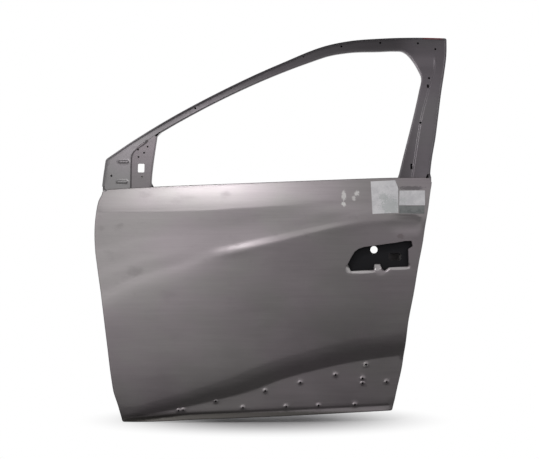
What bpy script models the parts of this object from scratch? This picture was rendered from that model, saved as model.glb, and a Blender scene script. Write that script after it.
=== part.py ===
"""Front left car door shell in bare stamped steel, before paint and trim.

The outer skin is hemmed round the edge of a one-piece inner panel, and that panel also makes
the inner half of the window frame. X runs rearwards, Y inboard and Z up, in metres, and the
origin is the centre of the upper hinge face.
"""

import math

import bmesh
import bpy
from mathutils import Vector
from mathutils.geometry import delaunay_2d_cdt

# Overall size of the door, and the size that the outlines below are drawn at
DOOR_LENGTH = 1.050
BODY_DROP = 0.603
FRAME_RISE = 0.473
DRAWN_LENGTH = 1.050
DRAWN_DROP = 0.603
DRAWN_RISE = 0.473

# Sheet thicknesses and the gap left between two sheets that lie on each other
SKIN_SHEET = 0.0008
PANEL_SHEET = 0.0007
FRAME_SHEET = 0.0008
BRACKET_SHEET = 0.0012
HINGE_SHEET = 0.0015
SEAT_GAP = 0.0003

# Hem round the skin's edge
HEM_EDGE = 0.0015
HEM_RETURN = 0.0085
HEM_LAND = 0.0110
HEM_GAP = 0.0006

# Turned-in edge of the skin at the belt
BELT_TURN = 0.0065

# Depth of the inner panel
FACE_Y = 0.076
BELT_FACE_Y = 0.032
BELT_STEP = 0.045
FRAME_DEPTH = 0.038
FRAME_FLANGE = 0.0135
SEAL_SHELF = 0.018
WALL_DRAFT = 0.003

# Lean and curve of the window frame, which the glass channels follow below the belt
FRAME_OUT = -0.026
FRAME_LEAN = 0.12
FRAME_CURVE = 0.37

# Hinges and latch
LOWER_HINGE_Z = -0.315
HINGE_PAD_HALF = 0.038
HINGE_BOLT_SPACING = 0.044
HINGE_BOLT_HOLE = 0.0115
LATCH_Z = -0.192
LATCH_PAD_HALF = 0.040
LATCH_SLOT = (0.030, 0.052)
LATCH_BOLT_HOLE = 0.0085
SEAT_DEPTH = 0.00004

# Handle opening and the cup behind it
HANDLE_FLANGE = 0.006
CUP_DEPTH = 0.030
CUP_RIM = 0.007
CUP_GAP = 0.0009
CUP_WALL_GAP = 0.004

# Impact beam
BEAM_RADIUS = 0.015
BEAM_WALL = 0.0022
BEAM_TO_SKIN = 0.010
BEAM_FRONT = (0.062, -0.150)
BEAM_REAR = (0.930, -0.322)

# Small holes and nuts
CLIP_HOLE = 0.0066
FRAME_HOLE = 0.0070
NUT_RADIUS = 0.0065
NUT_HEIGHT = 0.006

# Shallow finger scoop behind the handle
SCOOP_CENTRE = (0.972, 0.016)
SCOOP_REACH = (0.052, 0.046)
SCOOP_DEPTH = 0.0055

# Step down the face of the rear window pillar
PILLAR_STEP = 0.004

# Blank labels on the skin, as side view corners
LABEL_SHEET = 0.0002
LABEL_GAP = 0.0006
LARGE_LABEL = [(0.8617, 0.1603), (0.9399, 0.1640), (0.9484, 0.1392), (0.9469, 0.0604), (0.8652, 0.0569)]
SMALL_LABEL = [(0.9525, 0.1310), (1.0330, 0.1316), (1.0320, 0.0843), (0.9497, 0.0843)]
FILM_STRIP = [(0.9497, 0.0828), (1.0300, 0.0828), (1.0290, 0.0580), (0.9499, 0.0580)]


def fair(knots):
    """A smooth function through (position, value) knots that never overshoots them."""
    xs = [k[0] for k in knots]
    ys = [k[1] for k in knots]
    spans = [b - a for a, b in zip(xs, xs[1:])]
    slopes = [(d - c) / s for c, d, s in zip(ys, ys[1:], spans)]
    tangents = [slopes[0]]
    for i in range(1, len(xs) - 1):
        before, after = slopes[i - 1], slopes[i]
        if before * after <= 0:
            tangents.append(0.0)
            continue
        w1 = 2 * spans[i] + spans[i - 1]
        w2 = spans[i] + 2 * spans[i - 1]
        tangents.append((w1 + w2) / (w1 / before + w2 / after))
    tangents.append(slopes[-1])

    def curve(x):
        if x <= xs[0]:
            return ys[0] + tangents[0] * (x - xs[0])
        if x >= xs[-1]:
            return ys[-1] + tangents[-1] * (x - xs[-1])
        i = max(k for k in range(len(xs) - 1) if xs[k] <= x)
        t = (x - xs[i]) / spans[i]
        return ((1 + 2 * t) * (1 - t) ** 2 * ys[i] + t * (1 - t) ** 2 * spans[i] * tangents[i]
                + t * t * (3 - 2 * t) * ys[i + 1] + t * t * (t - 1) * spans[i] * tangents[i + 1])

    return curve


def mix(a, b, t):
    return a + (b - a) * t


def ease(t):
    """0 below 0, 1 above 1, and a smooth turn between."""
    t = min(max(t, 0.0), 1.0)
    return t * t * (3 - 2 * t)


# Lines of the side view, as height over distance behind the upper hinge
DRAWN_BELT = fair([(0.0, 0.1345), (0.165, 0.1432), (0.45, 0.1541), (0.70, 0.1638),
                   (0.95, 0.1725), (1.07, 0.1745)])
DRAWN_SHOULDER = fair([(-0.02, 0.060), (0.166, 0.0605), (0.323, 0.0646), (0.449, 0.0725),
                       (0.75, 0.090), (1.07, 0.105)])
DRAWN_RIDGE = fair([(-0.02, -0.211), (0.016, -0.194), (0.113, -0.147), (0.292, -0.094),
                    (0.427, -0.0657), (0.543, -0.0375), (0.763, 0.016), (0.857, 0.0315),
                    (1.07, 0.045)])
DRAWN_BAND = fair([(0.0, -0.5755), (0.072, -0.572), (0.11, -0.5686), (0.1755, -0.5497),
                   (0.254, -0.5277), (0.4175, -0.4743), (0.518, -0.4335), (0.70, -0.380),
                   (0.81, -0.355), (0.97, -0.336), (1.07, -0.330)])
DRAWN_RECESS = fair([(0.0, -0.5845), (0.106, -0.5840), (0.172, -0.5735), (0.321, -0.542),
                     (0.458, -0.5085), (0.61, -0.456), (0.812, -0.410), (0.968, -0.390),
                     (1.07, -0.384)])
DRAWN_BOTTOM = fair([(-0.02, -0.604), (0.10, -0.6025), (0.32, -0.595), (0.58, -0.5845),
                     (0.83, -0.5725), (1.07, -0.561)])
LIP_RISE = fair([(0.0, 0.006), (0.15, 0.012), (0.30, 0.021), (0.60, 0.022), (1.05, 0.021)])

# How far the section stands out along those lines, before the bow in plan is added
BELT_OUT = -0.038
SHOULDER_OUT = -0.0583
RIDGE_OUT = -0.072
BAND_OUT = -0.064
VALLEY_OUT = fair([(0.0, -0.0535), (0.45, -0.057), (0.75, -0.0645), (1.05, -0.066)])
RIDGE_FOOT_OUT = fair([(0.0, -0.0665), (0.45, -0.065), (0.65, -0.0655), (0.86, -0.0705),
                       (1.05, -0.071)])
RECESS_DEPTH = fair([(0.0, 0.003), (0.085, 0.0035), (0.13, 0.009), (0.25, 0.015), (0.50, 0.022), (0.75, 0.026),
                     (1.05, 0.027)])

# Bow of the whole door in plan
BOW_CENTRE = 0.640
BOW_FRONT = 0.026
BOW_REAR = 0.012

# Outline of the door in side view, followed down the front, along the bottom and up the rear
FRONT_EDGE = [(0.0075, 0.128), (-0.0038, 0.0986), (-0.0102, 0.0603), (-0.0143, 0.0223),
              (-0.0150, -0.0253), (-0.0125, -0.0634), (-0.0049, -0.114), (0.0063, -0.1894),
              (0.0252, -0.341), (0.0419, -0.4737), (0.0473, -0.5053), (0.0599, -0.5432),
              (0.0755, -0.6018)]
BOTTOM_EDGE = [(0.0755, -0.6018), (0.10, -0.6025), (0.32, -0.595), (0.58, -0.5845),
               (0.83, -0.5725), (0.9315, -0.5676)]
REAR_EDGE = [(0.9315, -0.5676), (0.9369, -0.546), (0.948, -0.4953), (0.9638, -0.4253),
             (0.9698, -0.3806), (0.9735, -0.340), (0.9791, -0.2894), (0.9978, -0.1886),
             (1.0135, -0.0943), (1.0246, -0.0376), (1.034, 0.0253), (1.0423, 0.0694),
             (1.0527, 0.1298), (1.0580, 0.158)]
SKIN_REAR_CORNER = (1.0475, 0.1735)

# Outline of the window frame, up the rear pillar, along the header and down the front
PILLAR_EDGE = [(1.0585, 0.186), (1.065, 0.2369), (1.0768, 0.2957), (1.0898, 0.3751),
               (1.1034, 0.4558), (1.1163, 0.5194), (1.1275, 0.5817), (1.1325, 0.6455)]
HEADER_EDGE = [(1.1325, 0.6455), (1.0407, 0.647), (0.9074, 0.6426), (0.8077, 0.6338),
               (0.7413, 0.6203), (0.576, 0.5534), (0.3805, 0.4589), (0.1864, 0.3506),
               (0.0963, 0.2936), (0.0115, 0.2350)]
SAIL_EDGE = [(0.0115, 0.2350), (0.0087, 0.2100), (0.0035, 0.1602), (0.0040, 0.1435)]

# Roundings where those edges meet
BOTTOM_CORNER_RADIUS = 0.008
TOP_CORNER_RADIUS = 0.008
SAIL_CORNER_RADIUS = 0.018

# Edge of the window opening, from the rear foot over the header to the foot of the sail
OPENING_REAR = [(0.9515, 0.1685), (0.9536, 0.1765), (0.9706, 0.2425), (0.9923, 0.3208),
                (1.0121, 0.3936), (1.0288, 0.4601), (1.0375, 0.498), (1.0372, 0.508),
                (1.0296, 0.528), (1.0188, 0.5507), (1.0063, 0.5704), (0.9932, 0.586),
                (0.9804, 0.5940)]
OPENING_HEADER = [(0.955, 0.5957), (0.9045, 0.5936), (0.8058, 0.5898), (0.7399, 0.5786),
                  (0.674, 0.5557), (0.5758, 0.517), (0.3814, 0.4262), (0.2531, 0.3562),
                  (0.193, 0.3205)]
OPENING_SAIL = [(0.1800, 0.3060), (0.1754, 0.2694), (0.1705, 0.2303), (0.1653, 0.1786),
                (0.1645, 0.160)]
SAIL_FOOT = [(0.1680, 0.150), (0.1780, 0.1405)]

# Seam between the frame and the mirror reinforcement, from the header down
SAIL_SEAM = [(0.1472, 0.2938), (0.1287, 0.283), (0.1139, 0.269), (0.1051, 0.2518), (0.098, 0.2284),
             (0.0990, 0.185), (0.0997, 0.1434)]

HANDLE_OPENING = [(0.7967, -0.1235), (0.786, -0.1015), (0.7986, -0.0767), (0.808, -0.0617),
                  (0.8212, -0.0519), (0.8384, -0.0463), (0.8802, -0.0406), (0.9373, -0.0331),
                  (0.9677, -0.0275), (0.9887, -0.0268), (0.9925, -0.0444), (0.9787, -0.0538),
                  (0.9799, -0.1034), (0.9781, -0.1090), (0.9181, -0.1119), (0.9134, -0.1150),
                  (0.9040, -0.1225), (0.8946, -0.1150), (0.8899, -0.1018), (0.8726, -0.1018),
                  (0.8689, -0.1197)]

CLIP_HOLES = [(0.2535, -0.5649), (0.2684, -0.5634), (0.3711, -0.5355), (0.4576, -0.5557),
              (0.5280, -0.5025), (0.5939, -0.5523), (0.6392, -0.4768), (0.6972, -0.5494),
              (0.7507, -0.4524), (0.8119, -0.5472), (0.8366, -0.4640), (0.8366, -0.4790),
              (0.8474, -0.4200), (0.9130, -0.4749)]
HEADER_HOLES = [(0.3020, 0.3995), (0.4169, 0.4659), (0.5331, 0.5237), (0.6527, 0.5752),
                (0.7780, 0.6101), (0.9067, 0.6230), (1.0313, 0.6221), (1.0879, 0.6021)]
PILLAR_HOLES = [(1.0621, 0.5018), (1.0569, 0.4742), (1.0273, 0.3515), (0.9947, 0.2089)]


def belt_z(x):
    return DRAWN_BELT(x * DRAWN_LENGTH / DOOR_LENGTH)


def place(point):
    """A drawn point of the side view, moved with the door's length, drop and window height."""
    x, z = point
    if z < 0:
        z = z * BODY_DROP / DRAWN_DROP
    elif z > DRAWN_BELT(x):
        z = DRAWN_BELT(x) + (z - DRAWN_BELT(x)) * FRAME_RISE / DRAWN_RISE
    return x * DOOR_LENGTH / DRAWN_LENGTH, z


def line_z(drawn, x):
    """Height of one of the drawn lines at a real distance behind the hinge."""
    return place((x, drawn(x * DRAWN_LENGTH / DOOR_LENGTH)))[1]


def bow(x):
    span = DOOR_LENGTH - BOW_CENTRE
    if x < BOW_CENTRE:
        return BOW_FRONT * ((x - BOW_CENTRE) / BOW_CENTRE) ** 2
    return BOW_REAR * ((x - BOW_CENTRE) / span) ** 2


section_cache = {}


def section(x):
    """The skin's upright section at x, from the bottom edge to the belt."""
    key = round(x, 6)
    if key in section_cache:
        return section_cache[key]
    belt = belt_z(x)
    shoulder = line_z(DRAWN_SHOULDER, x)
    ridge = line_z(DRAWN_RIDGE, x)
    band = line_z(DRAWN_BAND, x)
    recess = line_z(DRAWN_RECESS, x)
    bottom = line_z(DRAWN_BOTTOM, x)
    lip = bottom + LIP_RISE(x)
    recess_out = BAND_OUT + RECESS_DEPTH(x)
    knots = [(bottom, recess_out + 0.001), (lip - 0.004, recess_out + 0.001), (lip, recess_out + 0.003),
             (recess, recess_out), (band, BAND_OUT), (band + 0.020, BAND_OUT - 0.0025),
             (mix(ridge, band, 0.5), RIDGE_OUT + 0.002), (ridge - 0.014, RIDGE_OUT + 0.0005),
             (ridge, RIDGE_OUT), (mix(ridge, shoulder, 0.22), RIDGE_FOOT_OUT(x)),
             (mix(ridge, shoulder, 0.60), VALLEY_OUT(x)), (shoulder, SHOULDER_OUT),
             (shoulder + 0.008, SHOULDER_OUT + 0.0015), (mix(shoulder, belt, 0.5), -0.049),
             (belt, BELT_OUT)]
    section_cache[key] = fair(knots)
    return section_cache[key]


def scoop(x, z):
    cx, cz = place(SCOOP_CENTRE)
    reach = math.hypot((x - cx) / SCOOP_REACH[0], (z - cz) / SCOOP_REACH[1])
    return SCOOP_DEPTH * ease(1.6 * (1 - reach))


def skin_y(x, z):
    """Middle of the skin's sheet at a point of the side view."""
    return section(x)(z) + bow(x) + scoop(x, z)


HEM_SPREAD = SKIN_SHEET + PANEL_SHEET + 2 * HEM_GAP
FRAME_LAP = (FRAME_SHEET + PANEL_SHEET) / 2 + SEAT_GAP
PILLAR_STEP_LINE = fair([(0.10, 0.985), (0.23, 1.0055), (0.36, 1.0293), (0.469, 1.0608),
                         (0.544, 1.082), (0.575, 1.083)])


def frame_plane(x, z):
    """The plain lean and curve of the window frame's outer side, without its step."""
    rise = z - belt_z(x)
    return FRAME_OUT + bow(x) + FRAME_LEAN * rise + FRAME_CURVE * rise * rise


def pillar_inset(x, z):
    """The part of the rear pillar beside the glass lies lower than the rest."""
    drawn_x = x * DRAWN_LENGTH / DOOR_LENGTH
    rise = (z - belt_z(x)) * DRAWN_RISE / FRAME_RISE
    drawn_z = DRAWN_BELT(drawn_x) + rise
    beside = ease((PILLAR_STEP_LINE(drawn_z) - drawn_x + 0.003) / 0.006)
    on_pillar = ease((drawn_x - 0.90) / 0.03) * ease((0.575 - drawn_z) / 0.010)
    return PILLAR_STEP * beside * on_pillar


def frame_y(x, z):
    """Middle of the outer frame's sheet."""
    return frame_plane(x, z) + pillar_inset(x, z)


def panel_y(x, z):
    """The inner panel's face, its step at the belt and the inner side of the frame."""
    rise = z - belt_z(x)
    body = mix(FACE_Y, BELT_FACE_Y, ease((rise + 0.075) / BELT_STEP))
    frame = frame_plane(x, z) + FRAME_DEPTH
    return mix(body, frame, ease((rise + 0.005) / 0.060)) + presses(x, z)


def spline(knots, step=0.004):
    """Closely spaced points along a smooth curve through the knots."""
    points = [Vector(k) for k in knots]
    points = [points[0] * 2 - points[1]] + points + [points[-1] * 2 - points[-2]]
    tangents = [None]
    for a, b, c in zip(points, points[1:], points[2:]):
        before = (b - a).length
        after = (c - b).length
        tangents.append(((b - a) / before * after + (c - b) / after * before) / (before + after))
    out = []
    for i in range(1, len(points) - 2):
        a, b = points[i], points[i + 1]
        span = (b - a).length
        count = max(2, math.ceil(span / step))
        for k in range(count):
            t = k / count
            out.append(a * ((1 + 2 * t) * (1 - t) ** 2) + tangents[i] * (span * t * (1 - t) ** 2)
                       + b * (t * t * (3 - 2 * t)) + tangents[i + 1] * (span * t * t * (t - 1)))
    out.append(points[-2].copy())
    return out


def thin(path, longest, turn=math.radians(9), keep=()):
    """Fewer points along a path: one after each long stretch or noticeable turn."""
    kept = [path[0]]
    fixed = [True]
    heading = path[1] - path[0]

    def drop_close(point):
        if not fixed[-1] and (point - kept[-1]).length < 0.3 * longest:
            kept.pop()
            fixed.pop()

    for behind, here, after in zip(path, path[1:], path[2:]):
        ahead = after - here
        turned = heading.angle(ahead, 0.0)
        wanted = any((here - k).length < 0.004 and (here - k).length < (after - k).length
                     and (here - k).length <= (behind - k).length for k in keep)
        if wanted or (here - kept[-1]).length >= longest or turned >= turn:
            if wanted:
                drop_close(here)
            kept.append(here)
            fixed.append(wanted)
            heading = ahead
    drop_close(path[-1])
    kept.append(path[-1])
    return kept


def with_normals(points, closed=False):
    """Each point with its unit normal to the left of the way the path runs."""
    pairs = []
    count = len(points)
    for i, point in enumerate(points):
        ahead = points[(i + 1) % count] if closed or i < count - 1 else point
        behind = points[i - 1] if closed or i > 0 else point
        run = (ahead - behind).normalized()
        pairs.append((point, Vector((-run.y, run.x))))
    return pairs


def edge_x(knots, z):
    """Where an edge that runs up or down crosses the height z."""
    path = spline([place(k) for k in knots])
    crossing = min(path, key=lambda p: abs(p.y - z))
    return crossing.x


def pad_plane(edge, z, half, reach, side):
    """Where the wall stands beside a hinge or latch: clear of the hem over the pad's height."""
    heights = [z - half, z, z + half]
    crossings = [edge_x(edge, h) for h in heights]
    return (max(crossings) + reach) if side > 0 else (min(crossings) - reach)


WALL_INSET = HEM_LAND
LOWER_HINGE_X = pad_plane(FRONT_EDGE, LOWER_HINGE_Z, HINGE_PAD_HALF, WALL_INSET, 1)
LATCH_X = pad_plane(REAR_EDGE, LATCH_Z, LATCH_PAD_HALF, WALL_INSET, -1)
PAD_MIDDLE = PANEL_SHEET / 2 - SEAT_DEPTH
PADS = [(0.0, PAD_MIDDLE, HINGE_PAD_HALF, 1),
        (LOWER_HINGE_Z, LOWER_HINGE_X + PAD_MIDDLE, HINGE_PAD_HALF, 1),
        (LATCH_Z, LATCH_X - PAD_MIDDLE, LATCH_PAD_HALF, -1)]
PAD_BLEND = 0.022

# Rings of the inner panel's edge: inset from the outline and share of the panel's depth
SHELF_INSET = WALL_INSET + WALL_DRAFT + SEAL_SHELF
BODY_RINGS = [(WALL_INSET, None), (WALL_INSET + WALL_DRAFT, 0.74), (SHELF_INSET, 0.76),
              (SHELF_INSET + 0.006, 0.985), (SHELF_INSET + 0.011, 1.0)]
FRAME_RINGS = [(0.0080, None), (0.0100, 0.90), (0.0115, 0.97), (0.0130, 1.0), (0.0145, 1.0)]
PANEL_EDGE = HEM_EDGE + 0.0013
FRAME_EDGE = 0.002


def frame_share(x, z):
    """0 on the hemmed body of the door and 1 on the window frame."""
    return ease((z - belt_z(x) + 0.002) / 0.012)


def wall_point(sample, ring):
    """A point of one of the inner panel's edge rings, snapped to the hinge and latch pads."""
    x, z = sample.point
    share = frame_share(x, z)
    inset = mix(BODY_RINGS[ring][0], FRAME_RINGS[ring][0], share)
    at = sample.inset(inset)
    for pad_z, pad_x, half, side in PADS:
        near_edge = (sample.normal.x * side) > 0.8
        weight = 1 - ease((abs(z - pad_z) - half - 0.002) / PAD_BLEND)
        if not near_edge or weight <= 0:
            continue
        flat = pad_x if ring < 2 else pad_x + side * (inset - BODY_RINGS[1][0])
        at = Vector((mix(at.x, flat, weight), at.y))
    reach = (at - sample.point).dot(sample.normal)
    outer = mix(hem_y(sample, min(reach, HEM_FOOT)) + HEM_SPREAD / 2,
                frame_plane(at.x, at.y) + FRAME_FLANGE + FRAME_LAP, share)
    depth = BODY_RINGS[ring][1]
    if depth is None:
        return Vector((at.x, outer, at.y))
    depth = mix(depth, FRAME_RINGS[ring][1], share)
    return Vector((at.x, mix(outer, panel_y(at.x, at.y), depth), at.y))


class EdgePoint:
    """A point of the door's outline that knows where it lands when the outline is drawn inwards."""

    def __init__(self, point, normal, corner=None, reach=None):
        self.point = point
        self.normal = normal
        self.corner = corner
        self.reach = reach

    def inset(self, distance):
        if self.corner is None:
            return self.point + self.normal * distance
        centre, radius, mitre = self.corner
        if distance > self.reach:
            return centre + mitre * (distance - radius)
        return self.point + self.normal * distance


def round_corner(before, after, radius):
    """Points of the rounding between two paths that meet, and how sharply they turn."""
    apex = before[-1]
    run_in = (apex - before[-4]).normalized()
    run_out = (after[3] - apex).normalized()
    left_in = Vector((-run_in.y, run_in.x))
    left_out = Vector((-run_out.y, run_out.x))
    half_turn = run_in.angle(run_out) / 2
    mitre = (left_in + left_out).normalized() / math.cos(half_turn)
    corner = (apex + mitre * radius, radius, mitre)
    arc = []
    for share in (0.0, 0.5, 1.0):
        normal = left_in.slerp(left_out, share)
        arc.append(EdgePoint(corner[0] - normal * radius, normal, corner, radius))
    return arc, math.tan(half_turn)


HEM_FOOT = HEM_LAND
CORNER_CLEAR = 0.010
BELT_KEPT = [(0.0063, 0.1325), (0.0039, 0.1475), (0.0037, 0.1540), (1.0582, 0.1640), (1.0594, 0.1930)]


def hem_y(sample, inset):
    """Middle of the skin's sheet in the hem, straight from edge to foot and level in a corner."""
    edge = sample.inset(HEM_EDGE)
    foot = sample.inset(HEM_FOOT)
    if sample.reach < HEM_FOOT:
        return skin_y(foot.x, foot.y)
    share = (inset - HEM_EDGE) / (HEM_FOOT - HEM_EDGE)
    return mix(skin_y(edge.x, edge.y), skin_y(foot.x, foot.y), share)


def door_outline(step):
    """The whole outline, anticlockwise in side view from the foot of the sail down the front."""
    chains = [[place(k) for k in SAIL_EDGE + FRONT_EDGE], [place(k) for k in BOTTOM_EDGE],
              [place(k) for k in REAR_EDGE + PILLAR_EDGE], [place(k) for k in HEADER_EDGE]]
    paths = [spline(chain) for chain in chains]
    radii = [BOTTOM_CORNER_RADIUS, BOTTOM_CORNER_RADIUS, TOP_CORNER_RADIUS, SAIL_CORNER_RADIUS]
    corners = [round_corner(paths[k], paths[(k + 1) % 4], radii[k]) for k in range(4)]
    keep = [Vector(place(p)) for p in [FRONT_EDGE[0], REAR_EDGE[-1], PILLAR_EDGE[0]] + BELT_KEPT]
    for pad_z, pad_x, half, side in PADS:
        edge = FRONT_EDGE if side > 0 else REAR_EDGE
        keep += [Vector((edge_x(edge, pad_z + s * half), pad_z + s * half)) for s in (-1, 1)]
    for edge, x in ((FRONT_EDGE, 0.0), (REAR_EDGE, DOOR_LENGTH)):
        for line in (DRAWN_SHOULDER, DRAWN_RIDGE, DRAWN_BAND):
            keep.append(Vector((edge_x(edge, line_z(line, x)), line_z(line, x))))
    out = []
    for k, path in enumerate(paths):
        start_turn, end_turn = corners[k - 1][1], corners[k][1]
        start_clear = start_turn * radii[k - 1] + CORNER_CLEAR
        end_clear = end_turn * radii[k] + CORNER_CLEAR
        kept = [p for p in path if (p - path[0]).length > start_clear and (p - path[-1]).length > end_clear]
        thinned = thin(kept, step, keep=keep)
        for p, n in with_normals(thinned):
            start_reach = (p - path[0]).length / start_turn
            end_reach = (p - path[-1]).length / end_turn
            if start_reach < end_reach:
                out.append(EdgePoint(p, n, corners[k - 1][0][0].corner, start_reach))
            else:
                out.append(EdgePoint(p, n, corners[k][0][0].corner, end_reach))
        out += corners[k][0]
    return out, keep


def nearest(samples, target):
    return min(range(len(samples)), key=lambda k: (samples[k].point - target).length)


EDGE_STEP = 0.044
outline, ends = door_outline(EDGE_STEP)
hem_start = nearest(outline, ends[0])
hem_end = nearest(outline, ends[1])
panel_edge = outline[hem_start:] + outline[:hem_start]
skin_edge = outline[hem_start:hem_end + 1]
frame_edge = [s for s in outline[hem_end + 1:] + outline[:hem_start] if frame_share(*s.point) == 1][1:-1]


def opening_path(step=0.032):
    """The window opening, clockwise from its rear foot, so that normals point away from it."""
    knots = OPENING_REAR + OPENING_HEADER + OPENING_SAIL + SAIL_FOOT
    return thin(spline([place(k) for k in knots]), step)


def rounded_box(centre, half, radius, turn=0.0, corner_points=3):
    """Outline of a rectangle with round corners, as side view points."""
    out = []
    radius = min(radius, half[0], half[1])
    for sx, sz, start in ((1, 1, 0), (-1, 1, 90), (-1, -1, 180), (1, -1, 270)):
        for k in range(corner_points):
            angle = math.radians(start + 90 * k / (corner_points - 1))
            px = sx * (half[0] - radius) + radius * math.cos(angle)
            pz = sz * (half[1] - radius) + radius * math.sin(angle)
            out.append(Vector((centre[0] + px * math.cos(turn) - pz * math.sin(turn),
                               centre[1] + px * math.sin(turn) + pz * math.cos(turn))))
    return out


def circle(centre, radius, count=8):
    return [Vector((centre[0] + radius * math.cos(2 * math.pi * k / count),
                    centre[1] + radius * math.sin(2 * math.pi * k / count))) for k in range(count)]


def box_distance(x, z, centre, half, radius):
    """Distance outside a rectangle with round corners, negative inside."""
    dx = abs(x - centre[0]) - half[0] + radius
    dz = abs(z - centre[1]) - half[1] + radius
    return math.hypot(max(dx, 0), max(dz, 0)) + min(max(dx, dz), 0) - radius


FRONT_CHANNEL_LEAN = 0.106
REAR_CHANNEL_LEAN = 0.17
LATCH_FIELD_Z = -0.250
LATCH_FIELD_HALF = (0.054, 0.110)
LATCH_FIELD_GAP = 0.003


def rear_leg_x(z):
    """Front edge of the pillar's leg, which the rear glass channel continues."""
    top = place(OPENING_REAR[0])
    return top[0] - REAR_CHANNEL_LEAN * (top[1] - z)


# The field in front of the rear glass channel's lowest point, as a point of the drawing
LATCH_FIELD_X = (rear_leg_x(LATCH_FIELD_Z) - LATCH_FIELD_GAP - LATCH_FIELD_HALF[0]) * DRAWN_LENGTH / DOOR_LENGTH
LATCH_FIELD = (LATCH_FIELD_X, LATCH_FIELD_Z)

# Pressed fields of the inner panel: centre, half sizes, corner radius, depth (inboard is +)
PRESS_DRAFT = 0.010
PANEL_PRESSES = [((0.235, -0.430), (0.098, 0.098), 0.098, -0.007),
                 ((0.545, -0.030), (0.150, 0.036), 0.020, 0.006),
                 ((0.560, -0.270), (0.190, 0.150), 0.050, -0.006),
                 (LATCH_FIELD, LATCH_FIELD_HALF, 0.030, -0.006),
                 ((0.620, -0.515), (0.230, 0.022), 0.015, -0.005),
                 ((0.235, -0.190), (0.085, 0.075), 0.030, -0.005)]

# Openings cut through it: centre, half sizes, corner radius
PANEL_CUTS = [((0.235, -0.430), (0.078, 0.078), 0.078),
              ((0.490, -0.270), (0.095, 0.115), 0.040),
              ((0.680, -0.270), (0.045, 0.110), 0.030),
              (LATCH_FIELD, (0.034, 0.086), 0.022),
              ((0.235, -0.190), (0.058, 0.048), 0.020),
              ((0.8825, -0.0576), (0.020, 0.015), 0.015),
              ((0.1267, 0.2066), (0.013, 0.017), 0.004)]
REGULATOR_HOLES = [(0.340, -0.060), (0.340, -0.360), (0.760, -0.060), (0.790, -0.380), (0.130, -0.060),
                   (0.945, -0.200), (0.440, -0.450), (0.930, -0.440)]
REGULATOR_HOLE = 0.009


def presses(x, z):
    total = 0.0
    for centre, half, radius, depth in PANEL_PRESSES:
        inside = -box_distance(x, z, place(centre), half, radius)
        total += depth * min(max(inside / PRESS_DRAFT, 0.0), 1.0)
    return total


def inside(polygon, x, z):
    """Whether a point lies inside a polygon, by counting crossings."""
    hit = False
    for a, b in zip(polygon, polygon[1:] + polygon[:1]):
        if (a.y > z) != (b.y > z) and x < (b.x - a.x) * (z - a.y) / (b.y - a.y) + a.x:
            hit = not hit
    return hit


def clearance(loop, x, z, closed=True):
    """Distance from a point to a polygon's edge."""
    best = 1.0
    point = Vector((x, z))
    ends = list(zip(loop, loop[1:] + loop[:1])) if closed else list(zip(loop, loop[1:]))
    for a, b in ends:
        run = b - a
        t = min(max((point - a).dot(run) / max(run.length_squared, 1e-12), 0.0), 1.0)
        best = min(best, (point - a - run * t).length)
    return best


def fill(bm, outline, holes, lines, height, margin=0.006, folds=()):
    """Fill an outline of the side view with triangles, and lift each point to its height.

    holes are cut out, lines are rows of points that the triangles follow, and folds are
    closed rows round a pressed field.
    """
    points = []
    edges = []

    def add_loop(loop):
        first = len(points)
        points.extend(loop)
        edges.extend((first + k, first + (k + 1) % len(loop)) for k in range(len(loop)))

    add_loop(outline)
    for hole in holes:
        add_loop(hole)
    for fold in folds:
        if all(inside(outline, p.x, p.y) for p in fold):
            add_loop(fold)
    barriers = [outline] + list(holes) + list(folds)
    for line in lines:
        last = None
        for p in line:
            free = inside(outline, p.x, p.y) and not any(inside(h, p.x, p.y) for h in holes)
            if not free or any(clearance(b, p.x, p.y) < margin for b in barriers):
                last = None
                continue
            points.append(p)
            if last is not None and not any(crosses(points[last], p, b) for b in barriers):
                edges.append((last, len(points) - 1))
            last = len(points) - 1
    verts, _, tris, _, _, _ = delaunay_2d_cdt(points, edges, [], 0, 1e-7)
    made = [bm.verts.new((v.x, height(v.x, v.y), v.y)) for v in verts]
    for tri in tris:
        x = sum(verts[k].x for k in tri) / 3
        z = sum(verts[k].y for k in tri) / 3
        if inside(outline, x, z) and not any(inside(h, x, z) for h in holes):
            bm.faces.new([made[k] for k in tri])
    bmesh.ops.delete(bm, geom=[v for v in made if not v.link_faces], context='VERTS')


def crosses(a, b, loop):
    """Whether the stretch from a to b cuts a closed loop."""
    def side(p, q, r):
        return (q.x - p.x) * (r.y - p.y) - (q.y - p.y) * (r.x - p.x)

    for c, d in zip(loop, loop[1:] + loop[:1]):
        if side(a, b, c) * side(a, b, d) < 0 and side(c, d, a) * side(c, d, b) < 0:
            return True
    return False


def strip(bm, rows, closed=False, split=False):
    """Faces between rows of points that all have the same count, split the same way if asked."""
    made = [[bm.verts.new(p) for p in row] for row in rows]
    for low, high in zip(made, made[1:]):
        count = len(low)
        for k in range(count if closed else count - 1):
            after = (k + 1) % count
            if split:
                bm.faces.new((low[k], low[after], high[after]))
                bm.faces.new((low[k], high[after], high[k]))
            else:
                bm.faces.new((low[k], low[after], high[after], high[k]))


def flat(p):
    """The side view point of a point in space."""
    return Vector((p.x, p.z))


def material(name, color, roughness, metallic):
    mat = bpy.data.materials.new(name)
    mat.use_nodes = True
    shader = mat.node_tree.nodes["Principled BSDF"]
    shader.inputs["Base Color"].default_value = (*color, 1.0)
    shader.inputs["Roughness"].default_value = roughness
    shader.inputs["Metallic"].default_value = metallic
    return mat


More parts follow.
